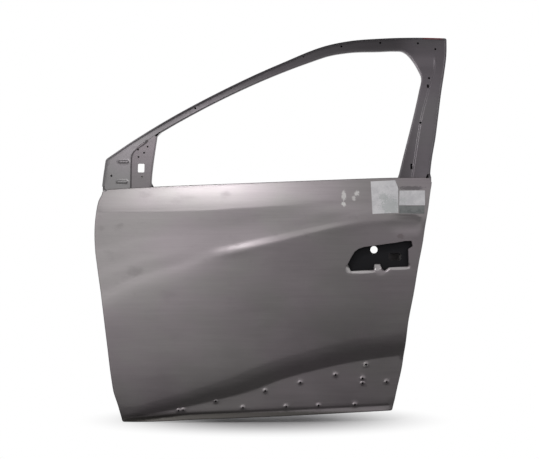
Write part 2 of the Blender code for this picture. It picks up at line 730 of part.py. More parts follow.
def sheet_object(name, bm, thickness, mat, weld=0.00001):
    """Make a stamped part from a mesh of its middle surface."""
    bmesh.ops.remove_doubles(bm, verts=bm.verts, dist=weld)
    bmesh.ops.dissolve_degenerate(bm, edges=bm.edges, dist=weld)
    bmesh.ops.recalc_face_normals(bm, faces=bm.faces)
    obj = solid_object(name, bm, mat)
    solidify = obj.modifiers.new("sheet", 'SOLIDIFY')
    solidify.thickness = thickness
    solidify.offset = 0.0
    solidify.use_even_offset = True
    solidify.use_quality_normals = True
    return obj


def solid_object(name, bm, mat):
    mesh = bpy.data.meshes.new(name)
    bm.to_mesh(mesh)
    bm.free()
    obj = bpy.data.objects.new(name, mesh)
    bpy.context.scene.collection.objects.link(obj)
    mesh.materials.append(mat)
    mesh.shade_smooth()
    mesh.set_sharp_from_angle(angle=math.radians(32))
    return obj


def cutter(name, bm):
    mesh = bpy.data.meshes.new(name)
    bmesh.ops.recalc_face_normals(bm, faces=bm.faces)
    bm.to_mesh(mesh)
    bm.free()
    obj = bpy.data.objects.new(name, mesh)
    bpy.context.scene.collection.objects.link(obj)
    obj.hide_render = True
    obj.display_type = 'WIRE'
    return obj


def cut(obj, tool):
    boolean = obj.modifiers.new("cut_" + tool.name, 'BOOLEAN')
    boolean.operation = 'DIFFERENCE'
    boolean.solver = 'EXACT'
    boolean.object = tool


def add_rod(bm, start, end, radius, count=10):
    """A closed round bar between two points."""
    axis = (end - start).normalized()
    side = axis.orthogonal().normalized()
    other = axis.cross(side)
    rings = []
    for centre in (start, end):
        rings.append([bm.verts.new(centre + (side * math.cos(2 * math.pi * k / count)
                                             + other * math.sin(2 * math.pi * k / count)) * radius)
                      for k in range(count)])
    for k in range(count):
        after = (k + 1) % count
        bm.faces.new((rings[0][k], rings[0][after], rings[1][after], rings[1][k]))
    bm.faces.new(list(reversed(rings[0])))
    bm.faces.new(rings[1])


def feature_rows(rows, first, last, step):
    """Points of the side view along height functions, at evenly spaced stations."""
    count = math.ceil((last - first) / step)
    stations = [mix(first, last, k / count) for k in range(count + 1)]
    return [[Vector((x, row(x))) for x in stations] for row in rows]


def handle_outline():
    return [Vector(place(p)) for p in HANDLE_OPENING]


def grown(loop, distance):
    """A closed anticlockwise or clockwise loop moved outwards by a distance."""
    area = sum(a.x * b.y - b.x * a.y for a, b in zip(loop, loop[1:] + loop[:1]))
    sign = -1 if area > 0 else 1
    return [p + n * sign * distance for p, n in with_normals(loop, closed=True)]


def hull(points):
    """Convex outline round points, anticlockwise."""
    ordered = sorted(points, key=lambda p: (p.x, p.y))

    def half(seq):
        out = []
        for p in seq:
            while len(out) > 1 and ((out[-1].x - out[-2].x) * (p.y - out[-2].y)
                                    - (out[-1].y - out[-2].y) * (p.x - out[-2].x)) <= 0:
                out.pop()
            out.append(p)
        return out

    return half(ordered)[:-1] + half(ordered[::-1])[:-1]


def build_outer_skin(mat):
    """The outer skin: one pressing with a hemmed edge, a turned-in belt and a pierced sill."""
    bm = bmesh.new()
    radius = HEM_SPREAD / 2

    def hem_row(inset, lift):
        row = []
        for sample in skin_edge:
            at = sample.inset(inset)
            row.append(Vector((at.x, hem_y(sample, inset) + lift, at.y)))
        return row

    inner_row = hem_row(HEM_FOOT, 0.0)
    rows = [inner_row]
    for degrees in (0, 60, 120, 180):
        angle = math.radians(degrees)
        rows.append(hem_row(HEM_EDGE + radius - radius * math.sin(angle), radius * (1 - math.cos(angle))))
    rows.append(hem_row(HEM_RETURN, HEM_SPREAD))
    strip(bm, [rows[1], inner_row], split=True)
    strip(bm, rows[1:], split=True)

    corner = Vector(place(SKIN_REAR_CORNER))
    start = flat(inner_row[0])
    end = flat(inner_row[-1])
    hem_end = flat(rows[1][-1])
    top = []
    count = 20
    for k in range(count):
        x = mix(corner.x, start.x + 0.008, k / (count - 1))
        top.append(Vector((x, belt_z(x) - 0.003)))
    outline = [flat(p) for p in inner_row] + [hem_end] + top

    belt_rows = []
    for rise, lift in ((0.0, 0.0), (0.002, 0.0009), (0.0028, 0.003), (0.0030, BELT_TURN)):
        belt_rows.append([Vector((p.x, skin_y(p.x, p.y) + lift, p.y + rise)) for p in top[1:]])
    strip(bm, belt_rows)

    lines = [lambda x: mix(line_z(DRAWN_SHOULDER, x), belt_z(x), 0.80),
             lambda x: mix(line_z(DRAWN_SHOULDER, x), belt_z(x), 0.45),
             lambda x: line_z(DRAWN_SHOULDER, x) + 0.008,
             lambda x: line_z(DRAWN_SHOULDER, x) - 0.003,
             lambda x: mix(line_z(DRAWN_RIDGE, x), line_z(DRAWN_SHOULDER, x), 0.78),
             lambda x: mix(line_z(DRAWN_RIDGE, x), line_z(DRAWN_SHOULDER, x), 0.60),
             lambda x: mix(line_z(DRAWN_RIDGE, x), line_z(DRAWN_SHOULDER, x), 0.40),
             lambda x: mix(line_z(DRAWN_RIDGE, x), line_z(DRAWN_SHOULDER, x), 0.20),
             lambda x: line_z(DRAWN_RIDGE, x) + 0.003,
             lambda x: line_z(DRAWN_RIDGE, x) - 0.014,
             lambda x: mix(line_z(DRAWN_RIDGE, x), line_z(DRAWN_BAND, x), 0.25),
             lambda x: mix(line_z(DRAWN_RIDGE, x), line_z(DRAWN_BAND, x), 0.5),
             lambda x: mix(line_z(DRAWN_RIDGE, x), line_z(DRAWN_BAND, x), 0.75),
             lambda x: line_z(DRAWN_BAND, x) + 0.020,
             lambda x: line_z(DRAWN_BAND, x) + 0.006,
             lambda x: mix(line_z(DRAWN_BAND, x), line_z(DRAWN_RECESS, x), 0.35),
             lambda x: line_z(DRAWN_RECESS, x),
             lambda x: line_z(DRAWN_BOTTOM, x) + LIP_RISE(x),
             lambda x: line_z(DRAWN_BOTTOM, x) + LIP_RISE(x) - 0.004]
    label_x = place(LARGE_LABEL[0])[0]
    lines = (feature_rows(lines[:6], -0.01, label_x, 0.070)
             + feature_rows(lines[:6], label_x + 0.010, DOOR_LENGTH, 0.025)
             + feature_rows(lines[6:], -0.01, DOOR_LENGTH, 0.070))
    holes = [circle(place(p), CLIP_HOLE / 2, 6) for p in CLIP_HOLES]
    opening = handle_outline()
    around = grown(hull(opening), 0.012)
    lines.insert(0, around + around[:1])
    scoop_rows = [circle(place(SCOOP_CENTRE), SCOOP_REACH[0] * share, 16) for share in (0.45, 0.85)]
    for row in scoop_rows:
        lines.append(row + row[:1])
    fill(bm, outline, holes + [opening], lines, skin_y)
    flange_rows = []
    for inset, lift in ((0.0, 0.0), (0.0008, 0.0025), (0.0010, HANDLE_FLANGE)):
        loop = grown(opening, -inset)
        flange_rows.append([Vector((p.x, skin_y(q.x, q.y) + lift, p.y)) for p, q in zip(loop, opening)])
    strip(bm, flange_rows, closed=True)
    return sheet_object("outer_skin", bm, SKIN_SHEET, mat)


def build_inner_panel(mat):
    """The inner panel: hem flange, stepped seal walls, pierced face, belt and frame in one."""
    bm = bmesh.new()
    outer_row = []
    for sample in panel_edge:
        share = frame_share(*sample.point)
        at = sample.inset(mix(PANEL_EDGE, FRAME_EDGE, share))
        lift = mix(hem_y(sample, PANEL_EDGE) + HEM_SPREAD / 2,
                   frame_plane(at.x, at.y) + FRAME_FLANGE + FRAME_LAP, share)
        outer_row.append(Vector((at.x, lift, at.y)))
    rows = [outer_row]
    for ring in range(len(BODY_RINGS)):
        rows.append([wall_point(sample, ring) for sample in panel_edge])
    strip(bm, rows[:2], closed=True, split=True)
    strip(bm, rows[1:], closed=True)
    outline = [flat(p) for p in rows[-1]]

    opening = opening_path()
    foot_count = 10
    rear, front = opening[0], opening[-1]
    for k in range(1, foot_count):
        x = mix(front.x, rear.x, k / foot_count)
        opening.append(Vector((x, belt_z(x) - 0.004)))
    pairs = with_normals(opening, closed=True)
    area = sum(a.x * b.y - b.x * a.y for a, b in zip(opening, opening[1:] + opening[:1]))
    sign = -1 if area > 0 else 1
    rings = []
    for grow, depth in ((0.0020, 0.006), (0.0024, 0.033), (0.0045, None)):
        row = []
        for p, n in pairs:
            at = p + n * sign * grow
            face = panel_y(at.x, at.y)
            share = ease((at.y - belt_z(at.x) - 0.004) / 0.022)
            wall = face if depth is None else mix(face - 0.006 * (0.0045 - grow) / 0.0025,
                                                  frame_plane(at.x, at.y) + depth, share)
            row.append(Vector((at.x, wall, at.y)))
        rings.append(row)
    strip(bm, rings, closed=True)
    window = [flat(p) for p in rings[-1]]

    holes = [rounded_box(place(c), h, r, corner_points=4 if r > 0.05 else 3) for c, h, r in PANEL_CUTS]
    holes += [circle(place(p), REGULATOR_HOLE / 2, 6) for p in REGULATOR_HOLES]
    folds = []
    for centre, half, radius, depth in PANEL_PRESSES:
        at = place(centre)
        folds.append(rounded_box(at, half, radius, corner_points=5 if radius > 0.05 else 3))
        inner_half = (half[0] - PRESS_DRAFT, half[1] - PRESS_DRAFT)
        folds.append(rounded_box(at, inner_half, max(radius - PRESS_DRAFT, 0.004),
                                 corner_points=5 if radius > 0.05 else 3))
    lines = [lambda x, rise=rise: belt_z(x) + rise for rise in (-0.018, -0.032, -0.045, -0.060, -0.076)]
    lines += [lambda x, z=z: z for z in (-0.10, -0.30, -0.46, -0.54)]
    lines = feature_rows(lines, 0.03, DOOR_LENGTH, 0.085)
    fill(bm, outline, [window] + holes, lines, panel_y, folds=folds)
    return sheet_object("inner_panel", bm, PANEL_SHEET, mat)


def opening_row(knots, step=0.030):
    """Points along part of the window opening, with normals that point into the frame."""
    pairs = with_normals(thin(spline([place(k) for k in knots]), step))
    return [(p, -n) for p, n in pairs]


def frame_flange_rows(pairs, base):
    """Rows that turn a frame sheet's edge inboard along the window opening."""
    rows = []
    for grow, lift in ((0.0040, 0.0), (0.0016, 0.0006), (0.0005, 0.0030), (0.0004, 0.0140)):
        row = []
        for p, n in pairs:
            at = p + n * grow
            row.append(Vector((at.x, base(at.x, at.y) + lift, at.y)))
        rows.append(row)
    return rows


LEG_DROP = 0.046
LEG_INSET = 0.021


def front_leg_x(z):
    """Rear edge of the mirror reinforcement's leg, which the front glass channel continues."""
    top = place(OPENING_SAIL[-1])
    return top[0] - FRONT_CHANNEL_LEAN * (top[1] - z)


# Beads and small holes of the sail, and how the frame's face is drawn over the beads
SAIL_BEADS = [((0.0740, 0.2250), (0.018, 0.0055), 0.0055, -0.0022),
              ((0.0700, 0.1600), (0.019, 0.0055), 0.0055, -0.0022)]
SAIL_BEAD_DRAFT = 0.004
SAIL_TOOLING_HOLE = (0.0352, 0.1800)
PILLAR_SLOTS = [((1.0569, 0.4742), (0.0035, 0.0060)), ((0.9947, 0.2089), (0.0035, 0.0095))]


def sail_beads(x, z):
    total = 0.0
    for centre, half, radius, depth in SAIL_BEADS:
        inside_by = -box_distance(x, z, place(centre), half, radius)
        total += depth * ease(inside_by / SAIL_BEAD_DRAFT)
    return total


def frame_face(x, z):
    return frame_y(x, z) + sail_beads(x, z)


def build_window_frame_outer(mat):
    """Outer half of the window frame: sail front, header and rear pillar in one pressing."""
    bm = bmesh.new()
    rows = []
    for inset, lift in ((FRAME_EDGE, FRAME_FLANGE), (0.0072, FRAME_FLANGE), (0.0092, 0.0015), (0.0105, 0.0)):
        row = []
        for sample in frame_edge:
            at = sample.inset(inset)
            row.append(Vector((at.x, frame_plane(at.x, at.y) + lift, at.y)))
        rows.append(row)
    strip(bm, rows)

    header = opening_row(OPENING_REAR + OPENING_HEADER, 0.038)
    rear_top = header[0][0]
    rear_z = belt_z(rear_top.x) - LEG_DROP
    for share in (0.5, 1.0):
        z = mix(rear_top.y, rear_z, share)
        header.insert(0, (Vector((rear_leg_x(z), z)), Vector((1.0, 0.0))))
    flange = frame_flange_rows(header, frame_y)
    strip(bm, flange)

    leg_z = belt_z(0.0) - 0.6 * LEG_DROP
    sail_x = edge_x(FRONT_EDGE, leg_z) + LEG_INSET
    seam = [Vector(place(p)) for p in reversed(SAIL_SEAM)]
    seam.insert(0, Vector((seam[0].x, leg_z - 0.004)))
    pillar_x = edge_x(REAR_EDGE, rear_z) - LEG_INSET
    outline = [flat(p) for p in rows[-1]]
    outline += [Vector((sail_x, belt_z(sail_x) + 0.002)), Vector((sail_x + 0.004, leg_z))]
    outline += seam
    outline += [flat(p) for p in reversed(flange[0])]
    outline += [Vector((pillar_x, rear_z)), Vector((pillar_x + 0.006, belt_z(pillar_x) - 0.004))]

    holes = [circle(place(p), FRAME_HOLE / 2, 6) for p in HEADER_HOLES + PILLAR_HOLES + [SAIL_TOOLING_HOLE]]
    holes += [rounded_box(place(c), h, 0.003) for c, h in PILLAR_SLOTS]
    folds = []
    for centre, half, radius, depth in SAIL_BEADS:
        folds.append(rounded_box(place(centre), half, radius))
        lower = (half[0] - SAIL_BEAD_DRAFT, half[1] - SAIL_BEAD_DRAFT)
        folds.append(rounded_box(place(centre), lower, radius - SAIL_BEAD_DRAFT))
    step_lines = []
    for offset in (-0.0045, 0.0045):
        line = []
        for k in range(15):
            drawn_z = mix(0.13, 0.570, k / 14)
            line.append(Vector(place((PILLAR_STEP_LINE(drawn_z) + offset, drawn_z))))
        step_lines.append(line)
    fill(bm, outline, holes, step_lines, frame_face, margin=0.003, folds=folds)
    return sheet_object("window_frame_outer", bm, FRAME_SHEET, mat)


MIRROR_WINDOW = ((0.1309, 0.2045), (0.0105, 0.0140))
MIRROR_NOTCH = ((0.1530, 0.3035), (0.0070, 0.0050))
MIRROR_BOLTS = [(0.1195, 0.2651), (0.1500, 0.2740), (0.1348, 0.1760)]
MIRROR_HOLES = [(0.1397, 0.2540), (0.1215, 0.2409)]
MIRROR_LAP = (FRAME_SHEET + BRACKET_SHEET) / 2 + SEAT_GAP
SEAM_LAP = 0.010


def mirror_y(x, z):
    """Middle of the mirror reinforcement, which lies behind the frame's sheet."""
    return frame_plane(x, z) + MIRROR_LAP


def build_mirror_reinforcement(mat):
    """Rear half of the sail: the thick plate that the mirror is bolted to."""
    bm = bmesh.new()
    edge = opening_row(OPENING_SAIL, 0.022)
    foot_z = belt_z(edge[-1][0].x) - LEG_DROP + 0.006
    for share in (0.5, 1.0):
        z = mix(edge[-1][0].y, foot_z, share)
        edge.append((Vector((front_leg_x(z), z)), Vector((-1.0, 0.0))))
    rows = frame_flange_rows(edge, mirror_y)
    strip(bm, rows)
    seam_pairs = with_normals([Vector(place(p)) for p in SAIL_SEAM])
    front = [p - n * SEAM_LAP for p, n in seam_pairs]
    front.append(Vector((front[-1].x, foot_z)))
    top = Vector(place((0.1720, 0.3120)))
    outline = [flat(p) for p in rows[0]] + list(reversed(front)) + [top]
    holes = [circle(place(p), 0.0033) for p in MIRROR_BOLTS + MIRROR_HOLES]
    holes.append(rounded_box(place(MIRROR_WINDOW[0]), MIRROR_WINDOW[1], 0.003))
    holes.append(rounded_box(place(MIRROR_NOTCH[0]), MIRROR_NOTCH[1], 0.0015, turn=math.radians(32)))
    fill(bm, outline, holes, [], mirror_y, margin=0.003)
    return sheet_object("mirror_reinforcement", bm, BRACKET_SHEET, mat)


def grid_sheet(name, rows, thickness, mat):
    bm = bmesh.new()
    strip(bm, rows)
    return sheet_object(name, bm, thickness, mat)


BELT_BRACE_ENDS = (0.200, 0.930)
BELT_BRACE_DEPTH = 0.036
BELT_BRACE_FLANGE = 0.010
BOND_GAP = 0.0007


def stations(first, last, count):
    return [mix(first, last, k / (count - 1)) for k in range(count)]


def build_belt_outer_reinforcement(mat):
    """Channel bonded behind the skin's belt, under its turned-in edge."""
    lap = (SKIN_SHEET + BRACKET_SHEET) / 2 + BOND_GAP
    top = 0.0001 + (SKIN_SHEET + BRACKET_SHEET) / 2 + SEAT_GAP
    reach = 0.0045
    profile = [(-top, reach + BELT_BRACE_FLANGE), (-top, reach), (-top - 0.004, lap),
               (-top - 0.5 * BELT_BRACE_DEPTH, lap), (-top - BELT_BRACE_DEPTH, lap),
               (-top - BELT_BRACE_DEPTH - 0.002, lap + 0.002),
               (-top - BELT_BRACE_DEPTH - 0.002, lap + BELT_BRACE_FLANGE)]
    rows = []
    for drop, lift in profile:
        row = []
        for x in stations(*BELT_BRACE_ENDS, 15):
            x = x * DOOR_LENGTH / DRAWN_LENGTH
            z = belt_z(x) + drop
            row.append(Vector((x, skin_y(x, min(z, belt_z(x) - 0.003)) + lift, z)))
        rows.append(row)
    return grid_sheet("belt_outer_reinforcement", rows, BRACKET_SHEET, mat)


def build_belt_inner_reinforcement(mat):
    """Channel welded behind the inner panel's belt."""
    lap = (PANEL_SHEET + BRACKET_SHEET) / 2 + SEAT_GAP
    rows = []
    for drop, lift in ((-0.009, BELT_BRACE_FLANGE), (-0.009, 0.002), (-0.010, 0.0), (-0.018, 0.0),
                       (-0.026, 0.0), (-0.027, 0.002), (-0.027, BELT_BRACE_FLANGE)):
        row = []
        for x in stations(*BELT_BRACE_ENDS, 9):
            x = x * DOOR_LENGTH / DRAWN_LENGTH
            row.append(Vector((x, BELT_FACE_Y - lap - lift, belt_z(x) + drop)))
        rows.append(row)
    return grid_sheet("belt_inner_reinforcement", rows, BRACKET_SHEET, mat)


def beam_axis(x):
    """Centre of the impact beam at x: straight in side view, bowed like the skin in plan."""
    start, end = place(BEAM_FRONT), place(BEAM_REAR)
    z = mix(start[1], end[1], (x - start[0]) / (end[0] - start[0]))
    return Vector((x, RIDGE_OUT + bow(x) + SKIN_SHEET / 2 + BEAM_TO_SKIN + BEAM_RADIUS, z))


def build_impact_beam(mat):
    """Open steel tube across the door, close behind the skin."""
    bm = bmesh.new()
    count = 12
    xs = stations(place(BEAM_FRONT)[0], place(BEAM_REAR)[0], 11)
    loops = []
    for radius, order in ((BEAM_RADIUS, xs), (BEAM_RADIUS - BEAM_WALL, xs[::-1])):
        for x in order:
            centre = beam_axis(x)
            run = (beam_axis(x + 0.001) - beam_axis(x - 0.001)).normalized()
            side = Vector((0, 1, 0)).cross(run).normalized()
            other = run.cross(side)
            loops.append([bm.verts.new(centre + (side * math.cos(2 * math.pi * k / count)
                                                 + other * math.sin(2 * math.pi * k / count)) * radius)
                          for k in range(count)])
    for low, high in zip(loops, loops[1:] + loops[:1]):
        for k in range(count):
            after = (k + 1) % count
            bm.faces.new((low[k], low[after], high[after], high[k]))
    bmesh.ops.recalc_face_normals(bm, faces=bm.faces)
    return solid_object("impact_beam", bm, mat)


def edge_rings(side):
    """The two rings that bound the panel's front or rear wall, from the bottom up."""
    samples = [s for s in skin_edge if s.normal.x * side > 0.8 and s.reach > BODY_RINGS[1][0]]
    samples.sort(key=lambda s: s.point.y)
    return [[wall_point(s, ring) for s in samples] for ring in (0, 1)]


FRONT_WALL = edge_rings(1)
REAR_WALL = edge_rings(-1)


def along_ring(ring, z):
    for a, b in zip(ring, ring[1:]):
        if a.z <= z <= b.z:
            return a.lerp(b, (z - a.z) / (b.z - a.z))
    return ring[0] if z < ring[0].z else ring[-1]


def wall_x(wall, y, z):
    """X of the middle of the panel's front or rear wall at a height and depth."""
    outer = along_ring(wall[0], z)
    inner = along_ring(wall[1], z)
    return mix(outer.x, inner.x, (y - outer.y) / (inner.y - outer.y))


def wall_heights(wall, low, high):
    """Heights between two limits at which the wall bends, with the limits themselves."""
    bends = [p.z for ring in wall for p in ring if low + 0.003 < p.z < high - 0.003]
    return [low] + sorted(bends) + [high]


BEAM_BRACKET_HALF = 0.034
BEAM_BRACKET_REACH = 0.060
WALL_FLANGE = 0.014


def build_beam_bracket(name, wall, side, beam_end, mat):
    """Saddle that holds one end of the beam and is welded to the panel's end wall."""
    trough = BEAM_RADIUS + (SEAT_GAP + 0.0002 + BRACKET_SHEET / 2) / math.cos(math.radians(15))
    end = beam_axis(place(beam_end)[0])
    level = end.y
    gap = PANEL_SHEET / 2 + SEAT_GAP + BRACKET_SHEET / 2 + 0.0001
    across = [(-BEAM_BRACKET_HALF, 0.0), (-trough - 0.004, 0.0)]
    across += [(trough * math.sin(math.radians(a)), trough * math.cos(math.radians(a)))
               for a in range(-90, 91, 30)]
    across += [(trough + 0.004, 0.0), (BEAM_BRACKET_HALF, 0.0)]
    base_y = level + trough
    slope = (beam_axis(end.x + 0.01).z - end.z) / 0.01
    stretch = math.hypot(1.0, slope)
    rows = []
    for s, depth in across:
        row = []
        for reach in (BEAM_BRACKET_REACH, 0.5 * BEAM_BRACKET_REACH, 0.004):
            centre = beam_axis(end.x + side * reach)
            row.append(Vector((centre.x, centre.y + depth, centre.z + s * stretch)))
        foot_z = end.z + s
        for lift, out in ((0.0, 0.012), (0.0, 0.004), (0.0025, 0.0010), (0.006, 0.0), (0.006 + WALL_FLANGE, 0.0)):
            y = base_y + lift
            row.append(Vector((wall_x(wall, y, foot_z) + side * (gap + out), y, foot_z)))
        rows.append(row)
    return grid_sheet(name, rows, BRACKET_SHEET, mat)


def box_cutter(name, centre, size):
    bm = bmesh.new()
    bmesh.ops.create_cube(bm, size=1.0)
    for v in bm.verts:
        v.co = Vector([centre[k] + v.co[k] * size[k] for k in range(3)])
    return cutter(name, bm)


def bolt_holes(name, x_from, x_to, places, radius):
    """Rods along X that cut a pattern of holes."""
    bm = bmesh.new()
    for y, z in places:
        add_rod(bm, Vector((x_from, y, z)), Vector((x_to, y, z)), radius, count=12)
    return cutter(name, bm)


def build_seat_cutter():
    """Blocks that coin the hinge and latch faces flat, each a little inside its pad."""
    bm = bmesh.new()
    for (z, middle, half, side), face in zip(PADS, (0.0, LOWER_HINGE_X, LATCH_X)):
        centre = (face - side * SEAT_BLOCK / 2, (SEAT_Y[0] + SEAT_Y[1]) / 2, z)
        size = (SEAT_BLOCK, SEAT_Y[1] - SEAT_Y[0], 2 * (half - SEAT_BORDER))
        made = bmesh.ops.create_cube(bm, size=1.0)["verts"]
        for v in made:
            v.co = Vector([centre[k] + v.co[k] * size[k] for k in range(3)])
    return cutter("seat_cutter", bm)


SEAT_Y = (-0.022, 0.042)
SEAT_BORDER = 0.003
SEAT_BLOCK = 0.004
HINGE_PLATE_Y = (-0.020, 0.034)
HINGE_FLANGE = 0.034
NUT_PLATE = (0.006, 0.017, 0.034)


def build_hinge_reinforcement(name, pad_x, z, holes, mat):
    """Thick angle plate inside the front wall, behind one hinge."""
    x = pad_x + PANEL_SHEET / 2 + SEAT_GAP + HINGE_SHEET / 2
    half = HINGE_PAD_HALF - 0.003
    path = [(0.0, HINGE_PLATE_Y[0]), (0.0, 0.0), (0.0, HINGE_PLATE_Y[1]), (0.0012, HINGE_PLATE_Y[1] + 0.0030),
            (0.0042, HINGE_PLATE_Y[1] + 0.0042), (HINGE_FLANGE, HINGE_PLATE_Y[1] + 0.0042)]
    rows = [[Vector((x + dx, y, z + share * half)) for share in (-1.0, 0.0, 1.0)] for dx, y in path]
    obj = grid_sheet(name, rows, HINGE_SHEET, mat)
    cut(obj, holes)
    return obj


def build_nut_plate(name, pad_x, z, holes, mat):
    """Tapped plate that floats behind a hinge reinforcement."""
    bm = bmesh.new()
    thick, half_y, half_z = NUT_PLATE
    x = pad_x + PANEL_SHEET / 2 + 2 * SEAT_GAP + HINGE_SHEET + thick / 2
    bmesh.ops.create_cube(bm, size=1.0)
    for v in bm.verts:
        v.co = Vector((x + v.co.x * thick, v.co.y * 2 * half_y, z + v.co.z * 2 * half_z))
    obj = solid_object(name, bm, mat)
    bevel = obj.modifiers.new("edges", 'BEVEL')
    bevel.width = 0.0012
    bevel.segments = 1
    cut(obj, holes)
    return obj


CHECK_PLATE_HALF = 0.020
CHECK_PLATE_GAP = 0.006
CHECK_STRAP_Z = place(BEAM_FRONT)[1] - BEAM_BRACKET_HALF - CHECK_PLATE_GAP - CHECK_PLATE_HALF
CHECK_PLATE_Y = (-0.014, 0.030)
CHECK_SLOT = (0.012, 0.022)


def build_check_strap_reinforcement(slot, mat):
    """Plate inside the front wall round the slot for the door check."""
    gap = PANEL_SHEET / 2 + SEAT_GAP + HINGE_SHEET / 2 + 0.0001
    rows = []
    for z in wall_heights(FRONT_WALL, CHECK_STRAP_Z - CHECK_PLATE_HALF, CHECK_STRAP_Z + CHECK_PLATE_HALF):
        rows.append([Vector((wall_x(FRONT_WALL, y, z) + gap, y, z)) for y in stations(*CHECK_PLATE_Y, 3)])
    obj = grid_sheet("check_strap_reinforcement", rows, HINGE_SHEET, mat)
    cut(obj, slot)
    return obj


LATCH_PLATE_Y = (-0.036, 0.034)
LATCH_SLOT_Y = 0.002
LATCH_BOLTS = [(0.002, 0.027), (-0.018, -0.027), (0.022, -0.027)]


def build_latch_reinforcement(holes, slot, mat):
    """Thick angle plate inside the rear wall, behind the latch."""
    x = LATCH_X - PANEL_SHEET - SEAT_GAP - HINGE_SHEET / 2
    half = LATCH_PAD_HALF - 0.004
    path = [(0.0, LATCH_PLATE_Y[0]), (0.0, 0.0), (0.0, LATCH_PLATE_Y[1]), (0.0012, LATCH_PLATE_Y[1] + 0.0030),
            (0.0042, LATCH_PLATE_Y[1] + 0.0042), (0.040, LATCH_PLATE_Y[1] + 0.0042)]
    rows = [[Vector((x - dx, y, LATCH_Z + share * half)) for share in (-1.0, 0.0, 1.0)] for dx, y in path]
    obj = grid_sheet("latch_reinforcement", rows, HINGE_SHEET, mat)
    cut(obj, holes)
    cut(obj, slot)
    return obj


CUP_HOLE = (0.8720, -0.0560)
CUP_HOLE_RADIUS = 0.0116
CUP_SLOT = ((0.938, -0.078), (0.020, 0.012))


def build_handle_reinforcement(mat):
    """Pressed cup bonded behind the handle opening, with the holes for the handle's fixings."""
    bm = bmesh.new()
    lap = (SKIN_SHEET + BRACKET_SHEET) / 2 + CUP_GAP
    mouth = hull(handle_outline())
    floor_y = RIDGE_OUT + bow(mouth[0].x) + CUP_DEPTH
    rows = []
    for grow, lift, deep in ((CUP_WALL_GAP + CUP_RIM, lap, 0.0), (CUP_WALL_GAP + 0.0025, lap, 0.0),
                             (CUP_WALL_GAP, lap + 0.0025, 0.0), (CUP_WALL_GAP - 0.0015, 0.0, 0.95),
                             (CUP_WALL_GAP - 0.0035, 0.0, 1.0)):
        row = []
        for p, q in zip(grown(mouth, grow), mouth):
            y = skin_y(p.x, p.y) + lift
            row.append(Vector((p.x, mix(y, floor_y, deep), p.y)))
        rows.append(row)
    strip(bm, rows, closed=True)
    holes = [circle(place(CUP_HOLE), CUP_HOLE_RADIUS, 16), rounded_box(place(CUP_SLOT[0]), CUP_SLOT[1], 0.006)]
    fill(bm, [flat(p) for p in rows[-1]], holes, [], lambda x, z: floor_y)
    return sheet_object("handle_reinforcement", bm, BRACKET_SHEET, mat)


CHANNEL_WIDTH = 0.014
CHANNEL_DEPTH = 0.016
CHANNEL_SHEET = 0.0008
CHANNEL_OUT = 0.013
FRONT_CHANNEL_ENDS = (0.136, -0.125)
REAR_CHANNEL_ENDS = (0.160, -0.235)


def channel_base(leg_x, side, leg_sheet, z):
    """Middle of a glass channel's web, which stands against the leg's turned edge."""
    lap = (leg_sheet + CHANNEL_SHEET) / 2 + SEAT_GAP
    x = leg_x(z) - side * 0.0004 + side * (lap + 0.0001)
    return Vector((x, frame_plane(x, z) + CHANNEL_OUT, z))


def build_glass_channel(name, leg_x, side, leg_sheet, ends, mat):
    """U-section that guides one edge of the glass; side is +1 where it opens rearwards."""
    half = CHANNEL_WIDTH / 2
    rows = []
    for dx, dy in ((CHANNEL_DEPTH, -half), (0.0, -half), (0.0, half), (CHANNEL_DEPTH, half)):
        row = []
        for z in stations(*ends, 9):
            base = channel_base(leg_x, side, leg_sheet, z)
            row.append(base + Vector((side * dx, dy, 0.0)))
        rows.append(row)
    return grid_sheet(name, rows, CHANNEL_SHEET, mat)


CHANNEL_STRAP_HALF = 0.011


def build_channel_bracket(name, leg_x, side, leg_sheet, z, foot, mat):
    """Strap from the back of a glass channel to the inner panel's face."""
    lap = (CHANNEL_SHEET + BRACKET_SHEET) / 2 + SEAT_GAP
    foot_y = FACE_Y - (PANEL_SHEET + BRACKET_SHEET) / 2 - SEAT_GAP
    rows = []
    for height in (z - CHANNEL_STRAP_HALF, z, z + CHANNEL_STRAP_HALF):
        base = channel_base(leg_x, side, leg_sheet, height)
        x = base.x - side * (lap + 0.0001)
        start = base.y - CHANNEL_WIDTH / 2 + 0.002
        end = channel_base(leg_x, side, leg_sheet, z).x - side * lap
        row = [Vector((x, start, height)), Vector((x, base.y + CHANNEL_WIDTH / 2, height))]
        row += [Vector((end, foot_y - 0.006, height)), Vector((end - side * 0.002, foot_y - 0.002, height)),
                Vector((end - side * 0.006, foot_y, height)), Vector((end - side * foot, foot_y, height))]
        rows.append(row)
    return grid_sheet(name, rows, BRACKET_SHEET, mat)


